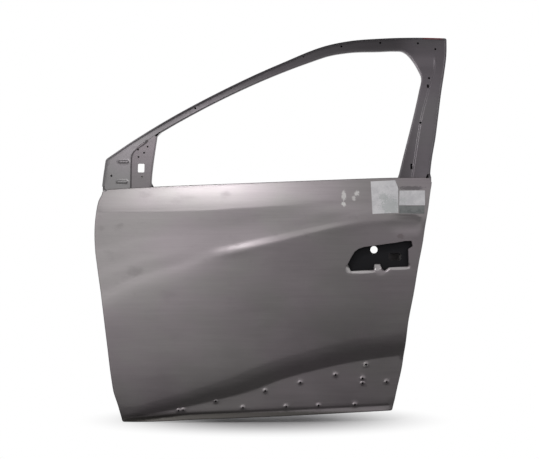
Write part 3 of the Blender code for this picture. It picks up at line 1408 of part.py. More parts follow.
def build_weld_nut(name, place_at, mat):
    """Hexagonal nut welded behind the mirror reinforcement, square to its sheet."""
    x, z = place(place_at)
    step = 0.001
    slope_x = (mirror_y(x + step, z) - mirror_y(x - step, z)) / (2 * step)
    slope_z = (mirror_y(x, z + step) - mirror_y(x, z - step)) / (2 * step)
    axis = Vector((-slope_x, 1.0, -slope_z)).normalized()
    seat = Vector((x, mirror_y(x, z), z)) + axis * (BRACKET_SHEET / 2 + SEAT_GAP + 0.0001)
    side = axis.orthogonal().normalized()
    other = axis.cross(side)
    bm = bmesh.new()
    loops = []
    for radius, lift in ((NUT_RADIUS, 0.0), (NUT_RADIUS, NUT_HEIGHT), (0.5 * NUT_RADIUS, NUT_HEIGHT),
                         (0.5 * NUT_RADIUS, 0.0)):
        loops.append([bm.verts.new(seat + axis * lift + (side * math.cos(math.pi * k / 3)
                                                         + other * math.sin(math.pi * k / 3)) * radius)
                      for k in range(6)])
    for low, high in zip(loops, loops[1:] + loops[:1]):
        for k in range(6):
            after = (k + 1) % 6
            bm.faces.new((low[k], low[after], high[after], high[k]))
    bmesh.ops.recalc_face_normals(bm, faces=bm.faces)
    return solid_object(name, bm, mat)


MASTIC_PLACES = (0.260, 0.500, 0.740)
MASTIC_HALF = (0.022, 0.008)


def closed_block(bm, lower, upper):
    """A closed solid between two grids of points with the same rows."""
    low = [[bm.verts.new(p) for p in row] for row in lower]
    high = [[bm.verts.new(p) for p in row] for row in upper]
    rows, cols = len(low), len(low[0])
    for i in range(rows - 1):
        for j in range(cols - 1):
            bm.faces.new((low[i][j], low[i][j + 1], low[i + 1][j + 1], low[i + 1][j]))
            bm.faces.new((high[i][j], high[i + 1][j], high[i + 1][j + 1], high[i][j + 1]))
    rim = [(0, j) for j in range(cols - 1)] + [(i, cols - 1) for i in range(rows - 1)]
    rim += [(rows - 1, j) for j in range(cols - 1, 0, -1)] + [(i, 0) for i in range(rows - 1, 0, -1)]
    for (i, j), (k, m) in zip(rim, rim[1:] + rim[:1]):
        bm.faces.new((low[i][j], high[i][j], high[k][m], low[k][m]))
    bmesh.ops.recalc_face_normals(bm, faces=bm.faces)


def build_mastic_pad(name, x_at, mat):
    """Block of anti-flutter mastic between the impact beam and the skin."""
    bm = bmesh.new()
    lower, upper = [], []
    radius = BEAM_RADIUS + SEAT_GAP
    x_mid = place((x_at, 0.0))[0]
    for share_x in (-1.0, 0.0, 1.0):
        x = x_mid + share_x * MASTIC_HALF[0]
        axis = beam_axis(x)
        low_row, high_row = [], []
        for share_z in (-1.0, -0.5, 0.0, 0.5, 1.0):
            dz = share_z * MASTIC_HALF[1]
            z = axis.z + dz
            low_row.append(Vector((x, skin_y(x, z) + SKIN_SHEET / 2 + SEAT_GAP + 0.0002, z)))
            high_row.append(Vector((x, axis.y - math.sqrt(radius * radius - dz * dz), z)))
        lower.append(low_row)
        upper.append(high_row)
    closed_block(bm, lower, upper)
    return solid_object(name, bm, mat)



def build_label(name, corners, mat):
    """Blank label stuck on the skin."""
    bm = bmesh.new()
    outline = []
    points = [Vector(place(p)) for p in corners]
    for a, b in zip(points, points[1:] + points[:1]):
        count = max(1, round((b - a).length / 0.018))
        outline += [a.lerp(b, k / count) for k in range(count)]
    low = min(p.y for p in points)
    high = max(p.y for p in points)
    left = min(p.x for p in points)
    right = max(p.x for p in points)
    rows = [[Vector((x, z)) for x in stations(left, right, 5)] for z in stations(low, high, 6)]
    offset = SKIN_SHEET / 2 + LABEL_GAP + LABEL_SHEET / 2
    fill(bm, outline, [], rows, lambda x, z: skin_y(x, z) - offset, margin=0.004)
    return sheet_object(name, bm, LABEL_SHEET, mat)


def main():
    for obj in list(bpy.data.objects):
        bpy.data.objects.remove(obj, do_unlink=True)
    skin_steel = material("skin_steel", (0.38, 0.36, 0.37), 0.40, 0.9)
    panel_steel = material("panel_steel", (0.30, 0.29, 0.30), 0.45, 0.9)
    brace_steel = material("brace_steel", (0.24, 0.23, 0.24), 0.50, 0.9)
    beam_steel = material("beam_steel", (0.16, 0.16, 0.17), 0.50, 0.8)
    nut_steel = material("nut_steel", (0.45, 0.43, 0.36), 0.40, 0.9)
    mastic = material("mastic", (0.05, 0.05, 0.05), 0.80, 0.0)
    paper = material("paper", (0.62, 0.61, 0.60), 0.80, 0.0)
    film = material("film", (0.30, 0.33, 0.30), 0.30, 0.0)

    upper_pad = PADS[0][1]
    lower_pad = PADS[1][1]
    bolt_half = HINGE_BOLT_SPACING / 2
    hinge_places = [(0.0, z + s * bolt_half) for z in (0.0, LOWER_HINGE_Z) for s in (-1, 1)]
    hinge_holes = bolt_holes("hinge_hole_cutter", -0.02, LOWER_HINGE_X + 0.03, hinge_places, HINGE_BOLT_HOLE / 2)
    thread_holes = bolt_holes("thread_cutter", -0.02, LOWER_HINGE_X + 0.03, hinge_places, 0.004)
    latch_holes = bolt_holes("latch_hole_cutter", LATCH_X - 0.02, LATCH_X + 0.02,
                             [(y, LATCH_Z + z) for y, z in LATCH_BOLTS], LATCH_BOLT_HOLE / 2)
    latch_slot = box_cutter("latch_slot_cutter", (LATCH_X, LATCH_SLOT_Y, LATCH_Z),
                            (0.040, LATCH_SLOT[1], LATCH_SLOT[0]))
    check_x = wall_x(FRONT_WALL, 0.0, CHECK_STRAP_Z)
    check_y = (CHECK_PLATE_Y[0] + CHECK_PLATE_Y[1]) / 2
    check_slot = box_cutter("check_slot_cutter", (check_x, check_y, CHECK_STRAP_Z),
                            (0.020, CHECK_SLOT[0], CHECK_SLOT[1]))

    build_outer_skin(skin_steel)
    panel = build_inner_panel(panel_steel)
    cut(panel, build_seat_cutter())
    cut(panel, hinge_holes)
    cut(panel, latch_holes)
    cut(panel, latch_slot)
    cut(panel, check_slot)
    build_window_frame_outer(panel_steel)
    build_mirror_reinforcement(brace_steel)
    build_belt_outer_reinforcement(brace_steel)
    build_belt_inner_reinforcement(brace_steel)
    build_impact_beam(beam_steel)
    build_beam_bracket("beam_bracket_front", FRONT_WALL, 1, BEAM_FRONT, brace_steel)
    build_beam_bracket("beam_bracket_rear", REAR_WALL, -1, BEAM_REAR, brace_steel)
    build_hinge_reinforcement("hinge_reinforcement_upper", upper_pad, 0.0, hinge_holes, brace_steel)
    build_hinge_reinforcement("hinge_reinforcement_lower", lower_pad, LOWER_HINGE_Z, hinge_holes, brace_steel)
    build_nut_plate("hinge_nut_plate_upper", upper_pad, 0.0, thread_holes, nut_steel)
    build_nut_plate("hinge_nut_plate_lower", lower_pad, LOWER_HINGE_Z, thread_holes, nut_steel)
    build_check_strap_reinforcement(check_slot, brace_steel)
    build_latch_reinforcement(latch_holes, latch_slot, brace_steel)
    build_handle_reinforcement(brace_steel)
    build_glass_channel("glass_channel_front", front_leg_x, 1, BRACKET_SHEET, FRONT_CHANNEL_ENDS, brace_steel)
    build_glass_channel("glass_channel_rear", rear_leg_x, -1, FRAME_SHEET, REAR_CHANNEL_ENDS, brace_steel)
    build_channel_bracket("channel_bracket_front", front_leg_x, 1, BRACKET_SHEET, -0.060, 0.030, brace_steel)
    build_channel_bracket("channel_bracket_rear", rear_leg_x, -1, FRAME_SHEET, -0.200, 0.060, brace_steel)
    for index, at in enumerate(MIRROR_BOLTS):
        build_weld_nut(f"mirror_weld_nut_{index + 1}", at, nut_steel)
    for index, x in enumerate(MASTIC_PLACES):
        build_mastic_pad(f"mastic_pad_{index + 1}", x, mastic)
    build_label("label_large", LARGE_LABEL, paper)
    build_label("label_small", SMALL_LABEL, paper)
    build_label("label_film", FILM_STRIP, film)


main()
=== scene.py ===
"""Looks of a front left car door shell in bare stamped steel, piece by piece as it is welded up.

X runs rearwards, Y inboard and Z up, in metres, and the origin is the centre of the upper
hinge face. The camera looks at the outer side, along +Y.
"""

import math

import bmesh
import bpy
import numpy as np
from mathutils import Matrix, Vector
from mathutils.geometry import delaunay_2d_cdt, intersect_line_line_2d


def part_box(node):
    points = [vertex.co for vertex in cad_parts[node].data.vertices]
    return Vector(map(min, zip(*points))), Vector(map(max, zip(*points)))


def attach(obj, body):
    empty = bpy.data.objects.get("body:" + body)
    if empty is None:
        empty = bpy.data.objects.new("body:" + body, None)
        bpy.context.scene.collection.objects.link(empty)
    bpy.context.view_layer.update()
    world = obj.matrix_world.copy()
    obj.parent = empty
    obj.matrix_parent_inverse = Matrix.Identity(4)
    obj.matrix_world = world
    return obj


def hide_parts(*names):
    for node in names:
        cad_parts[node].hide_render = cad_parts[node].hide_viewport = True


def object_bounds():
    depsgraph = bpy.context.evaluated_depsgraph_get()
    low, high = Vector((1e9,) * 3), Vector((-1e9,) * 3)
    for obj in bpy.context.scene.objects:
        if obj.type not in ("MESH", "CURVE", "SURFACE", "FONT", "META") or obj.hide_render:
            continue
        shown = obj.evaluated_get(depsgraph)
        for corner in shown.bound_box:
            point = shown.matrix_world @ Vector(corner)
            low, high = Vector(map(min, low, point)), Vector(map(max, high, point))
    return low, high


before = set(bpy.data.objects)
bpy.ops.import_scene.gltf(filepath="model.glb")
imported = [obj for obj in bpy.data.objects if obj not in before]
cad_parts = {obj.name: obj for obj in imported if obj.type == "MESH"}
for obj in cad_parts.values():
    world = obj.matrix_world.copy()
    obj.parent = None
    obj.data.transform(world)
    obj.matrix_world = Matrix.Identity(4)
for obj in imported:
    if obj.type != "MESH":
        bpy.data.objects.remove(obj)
cad_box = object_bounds()

# Inner panel: one deep pressing of 0.7 mm steel that closes the door on the passenger's side.
# Its edge is the flange that the skin is hemmed over, and its top is the inner half of the
# window frame. Openings for the regulator, speaker and latch are pierced in the same press.
DOOR_LENGTH = 1.050
SKIN_SHEET = 0.0008
PANEL_SHEET = 0.0007
FRAME_SHEET = 0.0008
SEAT_GAP = 0.0003
HEM_EDGE = 0.0015
HEM_RETURN = 0.0085
HEM_LAND = 0.0110
HEM_GAP = 0.0006
BELT_TURN = 0.0065
FACE_Y = 0.076
BELT_FACE_Y = 0.032
BELT_STEP = 0.045
FRAME_DEPTH = 0.038
FRAME_FLANGE = 0.0135
SEAL_SHELF = 0.018
WALL_DRAFT = 0.003
FRAME_OUT = -0.026
FRAME_LEAN = 0.12
FRAME_CURVE = 0.37
LOWER_HINGE_Z = -0.315
HINGE_PAD_HALF = 0.038
HINGE_BOLT_SPACING = 0.044
HINGE_BOLT_HOLE = 0.0115
LATCH_Z = -0.192
LATCH_PAD_HALF = 0.040
LATCH_SLOT = (0.030, 0.052)
LATCH_BOLT_HOLE = 0.0085


def fair(knots):
    """A smooth function through (position, value) knots that never overshoots them."""
    xs = [k[0] for k in knots]
    ys = [k[1] for k in knots]
    spans = [b - a for a, b in zip(xs, xs[1:])]
    slopes = [(d - c) / s for c, d, s in zip(ys, ys[1:], spans)]
    tangents = [slopes[0]]
    for i in range(1, len(xs) - 1):
        before, after = slopes[i - 1], slopes[i]
        if before * after <= 0:
            tangents.append(0.0)
            continue
        w1 = 2 * spans[i] + spans[i - 1]
        w2 = spans[i] + 2 * spans[i - 1]
        tangents.append((w1 + w2) / (w1 / before + w2 / after))
    tangents.append(slopes[-1])

    def curve(x):
        if x <= xs[0]:
            return ys[0] + tangents[0] * (x - xs[0])
        if x >= xs[-1]:
            return ys[-1] + tangents[-1] * (x - xs[-1])
        i = max(k for k in range(len(xs) - 1) if xs[k] <= x)
        t = (x - xs[i]) / spans[i]
        return ((1 + 2 * t) * (1 - t) ** 2 * ys[i] + t * (1 - t) ** 2 * spans[i] * tangents[i]
                + t * t * (3 - 2 * t) * ys[i + 1] + t * t * (t - 1) * spans[i] * tangents[i + 1])

    return curve


def mix(a, b, t):
    return a + (b - a) * t


def ease(t):
    """0 below 0, 1 above 1, and a smooth turn between."""
    t = min(max(t, 0.0), 1.0)
    return t * t * (3 - 2 * t)


# Lines of the side view, as height over distance behind the upper hinge
belt_z = fair([
    (0.0, 0.1345), (0.165, 0.1432), (0.45, 0.1541), (0.70, 0.1638), (0.95, 0.1725), (1.07, 0.1745),
])
shoulder_z = fair([
    (-0.02, 0.060), (0.166, 0.0605), (0.323, 0.0646), (0.449, 0.0725), (0.75, 0.090), (1.07, 0.105),
])
ridge_z = fair([
    (-0.02, -0.211), (0.016, -0.194), (0.113, -0.147), (0.292, -0.094), (0.427, -0.0657),
    (0.543, -0.0375), (0.763, 0.016), (0.857, 0.0315), (1.07, 0.045),
])
band_z = fair([
    (0.0, -0.5755), (0.072, -0.572), (0.11, -0.5686), (0.1755, -0.5497), (0.254, -0.5277),
    (0.4175, -0.4743), (0.518, -0.4335), (0.70, -0.380), (0.81, -0.355), (0.97, -0.336),
    (1.07, -0.330),
])
recess_z = fair([
    (0.0, -0.5845), (0.106, -0.5840), (0.172, -0.5735), (0.321, -0.542), (0.458, -0.5085),
    (0.61, -0.456), (0.812, -0.410), (0.968, -0.390), (1.07, -0.384),
])
bottom_z = fair([
    (-0.02, -0.604), (0.10, -0.6025), (0.32, -0.595), (0.58, -0.5845), (0.83, -0.5725),
    (1.07, -0.561),
])
lip_rise = fair([(0.0, 0.006), (0.15, 0.012), (0.30, 0.021), (0.60, 0.022), (1.05, 0.021)])

# How far the section stands out along those lines, before the bow in plan is added
BELT_OUT = -0.038
SHOULDER_OUT = -0.0583
RIDGE_OUT = -0.072
BAND_OUT = -0.064
valley_out = fair([
    (0.0, -0.0575), (0.25, -0.0603), (0.45, -0.0600), (0.65, -0.0628), (0.75, -0.0650),
    (1.05, -0.066),
])
ridge_foot_out = fair([
    (0.0, -0.0678), (0.25, -0.0682), (0.40, -0.0655), (0.52, -0.0645), (0.65, -0.0658),
    (0.86, -0.0705), (1.05, -0.071),
])
recess_depth = fair([
    (0.0, 0.003), (0.085, 0.0035), (0.13, 0.009), (0.25, 0.015), (0.50, 0.022), (0.75, 0.026),
    (1.05, 0.027),
])
BOW_CENTRE = 0.640
BOW_FRONT = 0.026
BOW_REAR = 0.012

# Outline of the door in side view, down the front, along the bottom, up the rear and round the frame
FRONT_EDGE = [
    (0.0075, 0.128), (-0.0038, 0.0986), (-0.0102, 0.0603), (-0.0143, 0.0223), (-0.0150, -0.0253),
    (-0.0125, -0.0634), (-0.0049, -0.114), (0.0063, -0.1894), (0.0252, -0.341), (0.0419, -0.4737),
    (0.0473, -0.5053), (0.0599, -0.5432), (0.0755, -0.6018),
]
BOTTOM_EDGE = [
    (0.0755, -0.6018), (0.10, -0.6025), (0.32, -0.595), (0.58, -0.5845), (0.83, -0.5725),
    (0.9315, -0.5676),
]
REAR_EDGE = [
    (0.9315, -0.5676), (0.9369, -0.546), (0.948, -0.4953), (0.9638, -0.4253), (0.9698, -0.3806),
    (0.9735, -0.340), (0.9791, -0.2894), (0.9978, -0.1886), (1.0135, -0.0943), (1.0246, -0.0376),
    (1.034, 0.0253), (1.0423, 0.0694), (1.0527, 0.1298), (1.0580, 0.158),
]
PILLAR_EDGE = [
    (1.0585, 0.186), (1.065, 0.2369), (1.0768, 0.2957), (1.0898, 0.3751), (1.1034, 0.4558),
    (1.1163, 0.5194), (1.1275, 0.5817), (1.1325, 0.6455),
]
HEADER_EDGE = [
    (1.1325, 0.6455), (1.0407, 0.647), (0.9074, 0.6426), (0.8077, 0.6338), (0.7413, 0.6203),
    (0.576, 0.5534), (0.3805, 0.4589), (0.1864, 0.3506), (0.0963, 0.2936), (0.0115, 0.2350),
]
SAIL_EDGE = [(0.0115, 0.2350), (0.0087, 0.2100), (0.0035, 0.1602), (0.0040, 0.1435)]
BOTTOM_CORNER_RADIUS = 0.008
TOP_CORNER_RADIUS = 0.008
SAIL_CORNER_RADIUS = 0.018

# Edge of the window opening, from the rear foot over the header to the foot of the sail
OPENING_REAR = [
    (0.9515, 0.1685), (0.9536, 0.1765), (0.9706, 0.2425), (0.9923, 0.3208), (1.0121, 0.3936),
    (1.0288, 0.4601), (1.0375, 0.498), (1.0372, 0.508), (1.0296, 0.528), (1.0188, 0.5507),
    (1.0063, 0.5704), (0.9932, 0.586), (0.9804, 0.5940),
]
OPENING_HEADER = [
    (0.955, 0.5957), (0.9045, 0.5936), (0.8058, 0.5898), (0.7399, 0.5786), (0.674, 0.5557),
    (0.5758, 0.517), (0.3814, 0.4262), (0.2531, 0.3562), (0.193, 0.3205),
]
OPENING_SAIL = [(0.1800, 0.3060), (0.1754, 0.2694), (0.1705, 0.2303), (0.1653, 0.1786), (0.1645, 0.160)]
SAIL_FOOT = [(0.1680, 0.150), (0.1780, 0.1405)]


def lip_z(x):
    """Top of the lip along the bottom edge."""
    return bottom_z(x) + lip_rise(x)


def bow(x):
    """The skin's curve in plan, which carries it inboard towards both ends."""
    if x < BOW_CENTRE:
        return BOW_FRONT * ((x - BOW_CENTRE) / BOW_CENTRE) ** 2
    return BOW_REAR * ((x - BOW_CENTRE) / (DOOR_LENGTH - BOW_CENTRE)) ** 2


# Knots of the section beside the lines: height over the line, and depth inboard of the sheet
LIP_FOOT_IN = 0.001
LIP_KNOTS = [(-0.012, 0.0024), (-0.002, 0.0034), (0.003, 0.0010), (0.009, 0.0006)]
CREASE_KNOTS = [(-0.003, 0.0003), (0.0, 0.0)]
RECESS_WALL = [(0.12, 0.13), (0.75, 0.86)]
BAND_KNOTS = [(0.0, 0.0), (0.020, -0.0025)]
RIDGE_FOOT_IN = 0.002
RIDGE_KNOTS = [(-0.052, 0.0009, 0.0), (-0.016, 0.0005, 0.0009), (0.0, 0.0, 0.0028)]
SHOULDER_KNOTS = [(0.0, 0.0), (0.008, 0.0015)]
WAIST_OUT = -0.049

# The ridge is softer at the front of the door
SOFT_RIDGE_X = 0.44
SOFT_RIDGE_SPAN = 0.22

section_cache = {}


def section(x):
    """The skin's upright section at x, from the bottom edge to the belt."""
    key = round(x, 6)
    if key in section_cache:
        return section_cache[key]
    belt, shoulder, ridge = belt_z(x), shoulder_z(x), ridge_z(x)
    band, recess, bottom, lip = band_z(x), recess_z(x), bottom_z(x), lip_z(x)
    recess_out = BAND_OUT + recess_depth(x)
    soft = ease((SOFT_RIDGE_X - x) / SOFT_RIDGE_SPAN)
    knots = [(bottom, recess_out + LIP_FOOT_IN)]
    knots += [(lip + rise, recess_out + back) for rise, back in LIP_KNOTS]
    knots += [(recess + rise, recess_out + back) for rise, back in CREASE_KNOTS]
    knots += [(mix(recess, band, up), mix(recess_out, BAND_OUT, out)) for up, out in RECESS_WALL]
    knots += [(band + rise, BAND_OUT + back) for rise, back in BAND_KNOTS]
    knots.append((mix(ridge, band, 0.5), RIDGE_OUT + RIDGE_FOOT_IN))
    knots += [(ridge + rise, RIDGE_OUT + mix(sharp, rounded, soft)) for rise, sharp, rounded in RIDGE_KNOTS]
    knots += [(mix(ridge, shoulder, 0.22), ridge_foot_out(x)), (mix(ridge, shoulder, 0.60), valley_out(x))]
    knots += [(shoulder + rise, SHOULDER_OUT + back) for rise, back in SHOULDER_KNOTS]
    knots += [(mix(shoulder, belt, 0.5), WAIST_OUT), (belt, BELT_OUT)]
    section_cache[key] = fair(knots)
    return section_cache[key]


# Shallow finger scoop above the rear of the handle opening
SCOOP_CENTRE = (0.965, 0.0255)
SCOOP_HALF = (0.059, 0.031)
SCOOP_RADIUS = 0.027
SCOOP_DEPTH = 0.0020
SCOOP_DRAFT = 0.018
SCOOP_FADE = (0.908, 0.960)
SCOOP_RIM = 0.0010
SCOOP_RIM_HALF = 0.004


def scoop(x, z):
    """How far the skin is pressed in at the scoop; a low rim runs round it."""
    cx, cz = SCOOP_CENTRE
    dx = max(abs(x - cx) - SCOOP_HALF[0] + SCOOP_RADIUS, 0.0)
    dz = max(abs(z - cz) - SCOOP_HALF[1] + SCOOP_RADIUS, 0.0)
    inside = SCOOP_RADIUS - math.hypot(dx, dz)
    if dx == 0.0 or dz == 0.0:
        inside = min(SCOOP_HALF[0] - abs(x - cx), SCOOP_HALF[1] - abs(z - cz))
    low, high = SCOOP_FADE
    rim = SCOOP_RIM * ease(1 - abs(inside) / SCOOP_RIM_HALF)
    return (SCOOP_DEPTH * ease(inside / SCOOP_DRAFT) - rim) * ease((x - low) / (high - low))


def skin_y(x, z):
    """Middle of the skin's sheet at a point of the side view."""
    return section(x)(z) + bow(x) + scoop(x, z)


HEM_SPREAD = SKIN_SHEET + PANEL_SHEET + 2 * HEM_GAP
FRAME_LAP = (FRAME_SHEET + PANEL_SHEET) / 2 + SEAT_GAP


def frame_plane(x, z):
    """The plain lean and curve of the window frame's outer side, without its step."""
    rise = z - belt_z(x)
    return FRAME_OUT + bow(x) + FRAME_LEAN * rise + FRAME_CURVE * rise * rise


def spline(knots, step=0.004):
    """Closely spaced points along a smooth curve through the knots."""
    points = [Vector(k) for k in knots]
    points = [points[0] * 2 - points[1]] + points + [points[-1] * 2 - points[-2]]
    tangents = [None]
    for a, b, c in zip(points, points[1:], points[2:]):
        before = (b - a).length
        after = (c - b).length
        tangents.append(((b - a) / before * after + (c - b) / after * before) / (before + after))
    out = []
    for i in range(1, len(points) - 2):
        a, b = points[i], points[i + 1]
        span = (b - a).length
        count = max(2, math.ceil(span / step))
        for k in range(count):
            t = k / count
            out.append(a * ((1 + 2 * t) * (1 - t) ** 2) + tangents[i] * (span * t * (1 - t) ** 2)
                       + b * (t * t * (3 - 2 * t)) + tangents[i + 1] * (span * t * t * (t - 1)))
    out.append(points[-2].copy())
    return out


NOTED_TURN = math.radians(9)
CLOSE_SHARE = 0.3
KEEP_REACH = 0.004


def thin(path, longest, keep=()):
    """Fewer points along a path: one after each long stretch or noted turn, and beside keep."""
    kept = [path[0]]
    fixed = [True]
    heading = path[1] - path[0]

    def drop_close(point):
        if not fixed[-1] and (point - kept[-1]).length < CLOSE_SHARE * longest:
            kept.pop()
            fixed.pop()

    for behind, here, after in zip(path, path[1:], path[2:]):
        ahead = after - here
        turned = heading.angle(ahead, 0.0)
        wanted = any((here - k).length < KEEP_REACH and (here - k).length < (after - k).length
                     and (here - k).length <= (behind - k).length for k in keep)
        if wanted or (here - kept[-1]).length >= longest or turned >= NOTED_TURN:
            if wanted:
                drop_close(here)
            kept.append(here)
            fixed.append(wanted)
            heading = ahead
    drop_close(path[-1])
    kept.append(path[-1])
    return kept


def with_normals(points, closed=False):
    """Each point with its unit normal to the left of the way the path runs."""
    pairs = []
    count = len(points)
    for i, point in enumerate(points):
        ahead = points[(i + 1) % count] if closed or i < count - 1 else point
        behind = points[i - 1] if closed or i > 0 else point
        run = (ahead - behind).normalized()
        pairs.append((point, Vector((-run.y, run.x))))
    return pairs


def grown(loop, distance):
    """A closed loop moved outwards by a distance, whichever way it runs."""
    area = sum(a.x * b.y - b.x * a.y for a, b in zip(loop, loop[1:] + loop[:1]))
    sign = -1 if area > 0 else 1
    return [p + n * sign * distance for p, n in with_normals(loop, closed=True)]


def edge_x(knots, z):
    """Where an edge that runs up or down crosses the height z."""
    return min(spline(knots), key=lambda p: abs(p.y - z)).x


def pad_plane(edge, z, half, reach, side):
    """Where the wall stands beside a hinge or latch: clear of the hem over the pad's height."""
    heights = [z - half, z, z + half]
    crossings = [edge_x(edge, h) for h in heights]
    return (max(crossings) + reach) if side > 0 else (min(crossings) - reach)


WALL_INSET = HEM_LAND
LOWER_HINGE_X = pad_plane(FRONT_EDGE, LOWER_HINGE_Z, HINGE_PAD_HALF, WALL_INSET, 1)
LATCH_X = pad_plane(REAR_EDGE, LATCH_Z, LATCH_PAD_HALF, WALL_INSET, -1)
PADS = [(0.0, PANEL_SHEET / 2, HINGE_PAD_HALF, 1),
        (LOWER_HINGE_Z, LOWER_HINGE_X + PANEL_SHEET / 2, HINGE_PAD_HALF, 1),
        (LATCH_Z, LATCH_X - PANEL_SHEET / 2, LATCH_PAD_HALF, -1)]
PAD_BLEND = 0.022
PAD_MARGIN = 0.002
PAD_FACING = 0.8

# Rings of the inner panel's edge: inset from the outline and share of the panel's depth
WALL_FOOT = WALL_INSET + WALL_DRAFT
SHELF_INSET = WALL_FOOT + SEAL_SHELF
BODY_RINGS = [(WALL_INSET, None), (WALL_INSET + 0.0002, 0.05), (WALL_INSET + 0.6 * WALL_DRAFT, 0.40),
              (WALL_INSET + 0.97 * WALL_DRAFT, 0.71), (WALL_FOOT + 0.0012, 0.735),
              (WALL_FOOT + 0.0040, 0.741), (SHELF_INSET - 0.0030, 0.757), (SHELF_INSET, 0.765),
              (SHELF_INSET + 0.0022, 0.80), (SHELF_INSET + 0.0050, 0.94),
              (SHELF_INSET + 0.0070, 0.985), (SHELF_INSET + 0.0110, 1.0)]
FRAME_RINGS = [(0.0080, None), (0.0082, 0.06), (0.0090, 0.50), (0.0098, 0.84), (0.0102, 0.92),
               (0.0108, 0.955), (0.0114, 0.972), (0.0120, 0.985), (0.0126, 0.995), (0.0132, 1.0),
               (0.0140, 1.0), (0.0150, 1.0)]
PAD_RINGS = 4
PANEL_EDGE = HEM_EDGE + 0.0013
FRAME_EDGE = 0.002
HEM_FOOT = HEM_LAND
FRAME_START = 0.002
FRAME_TURN = 0.012
CORNER_CLEAR = 0.010
EDGE_STEP = 0.012


def frame_share(x, z):
    """0 on the hemmed body of the door and 1 on the window frame."""
    return ease((z - belt_z(x) + FRAME_START) / FRAME_TURN)


def wall_point(sample, ring):
    """A point of one of the inner panel's edge rings, snapped to the hinge and latch pads."""
    x, z = sample.point
    share = frame_share(x, z)
    inset = mix(BODY_RINGS[ring][0], FRAME_RINGS[ring][0], share)
    at = sample.inset(inset)
    for pad_z, pad_x, half, side in PADS:
        near_edge = (sample.normal.x * side) > PAD_FACING
        weight = 1 - ease((abs(z - pad_z) - half - PAD_MARGIN) / PAD_BLEND)
        if not near_edge or weight <= 0:
            continue
        wall_x = pad_x if ring < PAD_RINGS else pad_x + side * (inset - BODY_RINGS[PAD_RINGS - 1][0])
        at = Vector((mix(at.x, wall_x, weight), at.y))
    reach = (at - sample.point).dot(sample.normal)
    outer = mix(hem_y(sample, min(reach, HEM_FOOT)) + HEM_SPREAD / 2,
                frame_plane(at.x, at.y) + FRAME_FLANGE + FRAME_LAP, share)
    depth = BODY_RINGS[ring][1]
    if depth is None:
        return Vector((at.x, outer, at.y))
    depth = mix(depth, FRAME_RINGS[ring][1], share)
    return Vector((at.x, mix(outer, panel_y(at.x, at.y), depth), at.y))


class EdgePoint:
    """A point of the door's outline that knows where it lands when the outline is drawn inwards."""

    def __init__(self, point, normal, corner, reach):
        self.point = point
        self.normal = normal
        self.corner = corner
        self.reach = reach

    def inset(self, distance):
        centre, radius, mitre = self.corner
        if distance > self.reach:
            return centre + mitre * (distance - radius)
        return self.point + self.normal * distance


def round_corner(before, after, radius):
    """Points of the rounding between two paths that meet, and how sharply they turn."""
    apex = before[-1]
    run_in = (apex - before[-4]).normalized()
    run_out = (after[3] - apex).normalized()
    left_in = Vector((-run_in.y, run_in.x))
    left_out = Vector((-run_out.y, run_out.x))
    half_turn = run_in.angle(run_out) / 2
    mitre = (left_in + left_out).normalized() / math.cos(half_turn)
    corner = (apex + mitre * radius, radius, mitre)
    arc = []
    for share in (0.0, 0.25, 0.5, 0.75, 1.0):
        normal = left_in.slerp(left_out, share)
        arc.append(EdgePoint(corner[0] - normal * radius, normal, corner, radius))
    return arc, math.tan(half_turn)


def hem_y(sample, inset):
    """Middle of the skin's sheet in the hem, straight from edge to foot and level in a corner."""
    edge = sample.inset(HEM_EDGE)
    foot = sample.inset(HEM_FOOT)
    if sample.reach < HEM_FOOT:
        return skin_y(foot.x, foot.y)
    share = (inset - HEM_EDGE) / (HEM_FOOT - HEM_EDGE)
    return mix(skin_y(edge.x, edge.y), skin_y(foot.x, foot.y), share)


def door_outline(step):
    """The whole outline, anticlockwise in side view from the foot of the sail down the front."""
    paths = [spline(chain) for chain in
             (SAIL_EDGE + FRONT_EDGE, BOTTOM_EDGE, REAR_EDGE + PILLAR_EDGE, HEADER_EDGE)]
    radii = [BOTTOM_CORNER_RADIUS, BOTTOM_CORNER_RADIUS, TOP_CORNER_RADIUS, SAIL_CORNER_RADIUS]
    corners = [round_corner(paths[k], paths[(k + 1) % 4], radii[k]) for k in range(4)]
    keep = [Vector(p) for p in (FRONT_EDGE[0], REAR_EDGE[-1], PILLAR_EDGE[0])]
    for pad_z, _, half, side in PADS:
        edge = FRONT_EDGE if side > 0 else REAR_EDGE
        keep += [Vector((edge_x(edge, pad_z + s * half), pad_z + s * half)) for s in (-1, 1)]
    for edge, x in ((FRONT_EDGE, 0.0), (REAR_EDGE, DOOR_LENGTH)):
        for line in (shoulder_z, ridge_z, band_z):
            keep.append(Vector((edge_x(edge, line(x)), line(x))))
    out = []
    for k, path in enumerate(paths):
        start_turn, end_turn = corners[k - 1][1], corners[k][1]
        start_clear = start_turn * radii[k - 1] + CORNER_CLEAR
        end_clear = end_turn * radii[k] + CORNER_CLEAR
        kept = [p for p in path if (p - path[0]).length > start_clear and (p - path[-1]).length > end_clear]
        thinned = thin(kept, step, keep=keep)
        for p, n in with_normals(thinned):
            start_reach = (p - path[0]).length / start_turn
            end_reach = (p - path[-1]).length / end_turn
            if start_reach < end_reach:
                out.append(EdgePoint(p, n, corners[k - 1][0][0].corner, start_reach))
            else:
                out.append(EdgePoint(p, n, corners[k][0][0].corner, end_reach))
        out += corners[k][0]
    return out, keep


def nearest(samples, target):
    """Which of the outline's points lies closest to a place."""
    return min(range(len(samples)), key=lambda k: (samples[k].point - target).length)


outline, ends = door_outline(EDGE_STEP)
hem_start = nearest(outline, ends[0])
hem_end = nearest(outline, ends[1])
panel_edge = outline[hem_start:] + outline[:hem_start]
skin_edge = outline[hem_start:hem_end + 1]
frame_edge = [s for s in outline[hem_end + 1:] + outline[:hem_start] if frame_share(*s.point) == 1][1:-1]


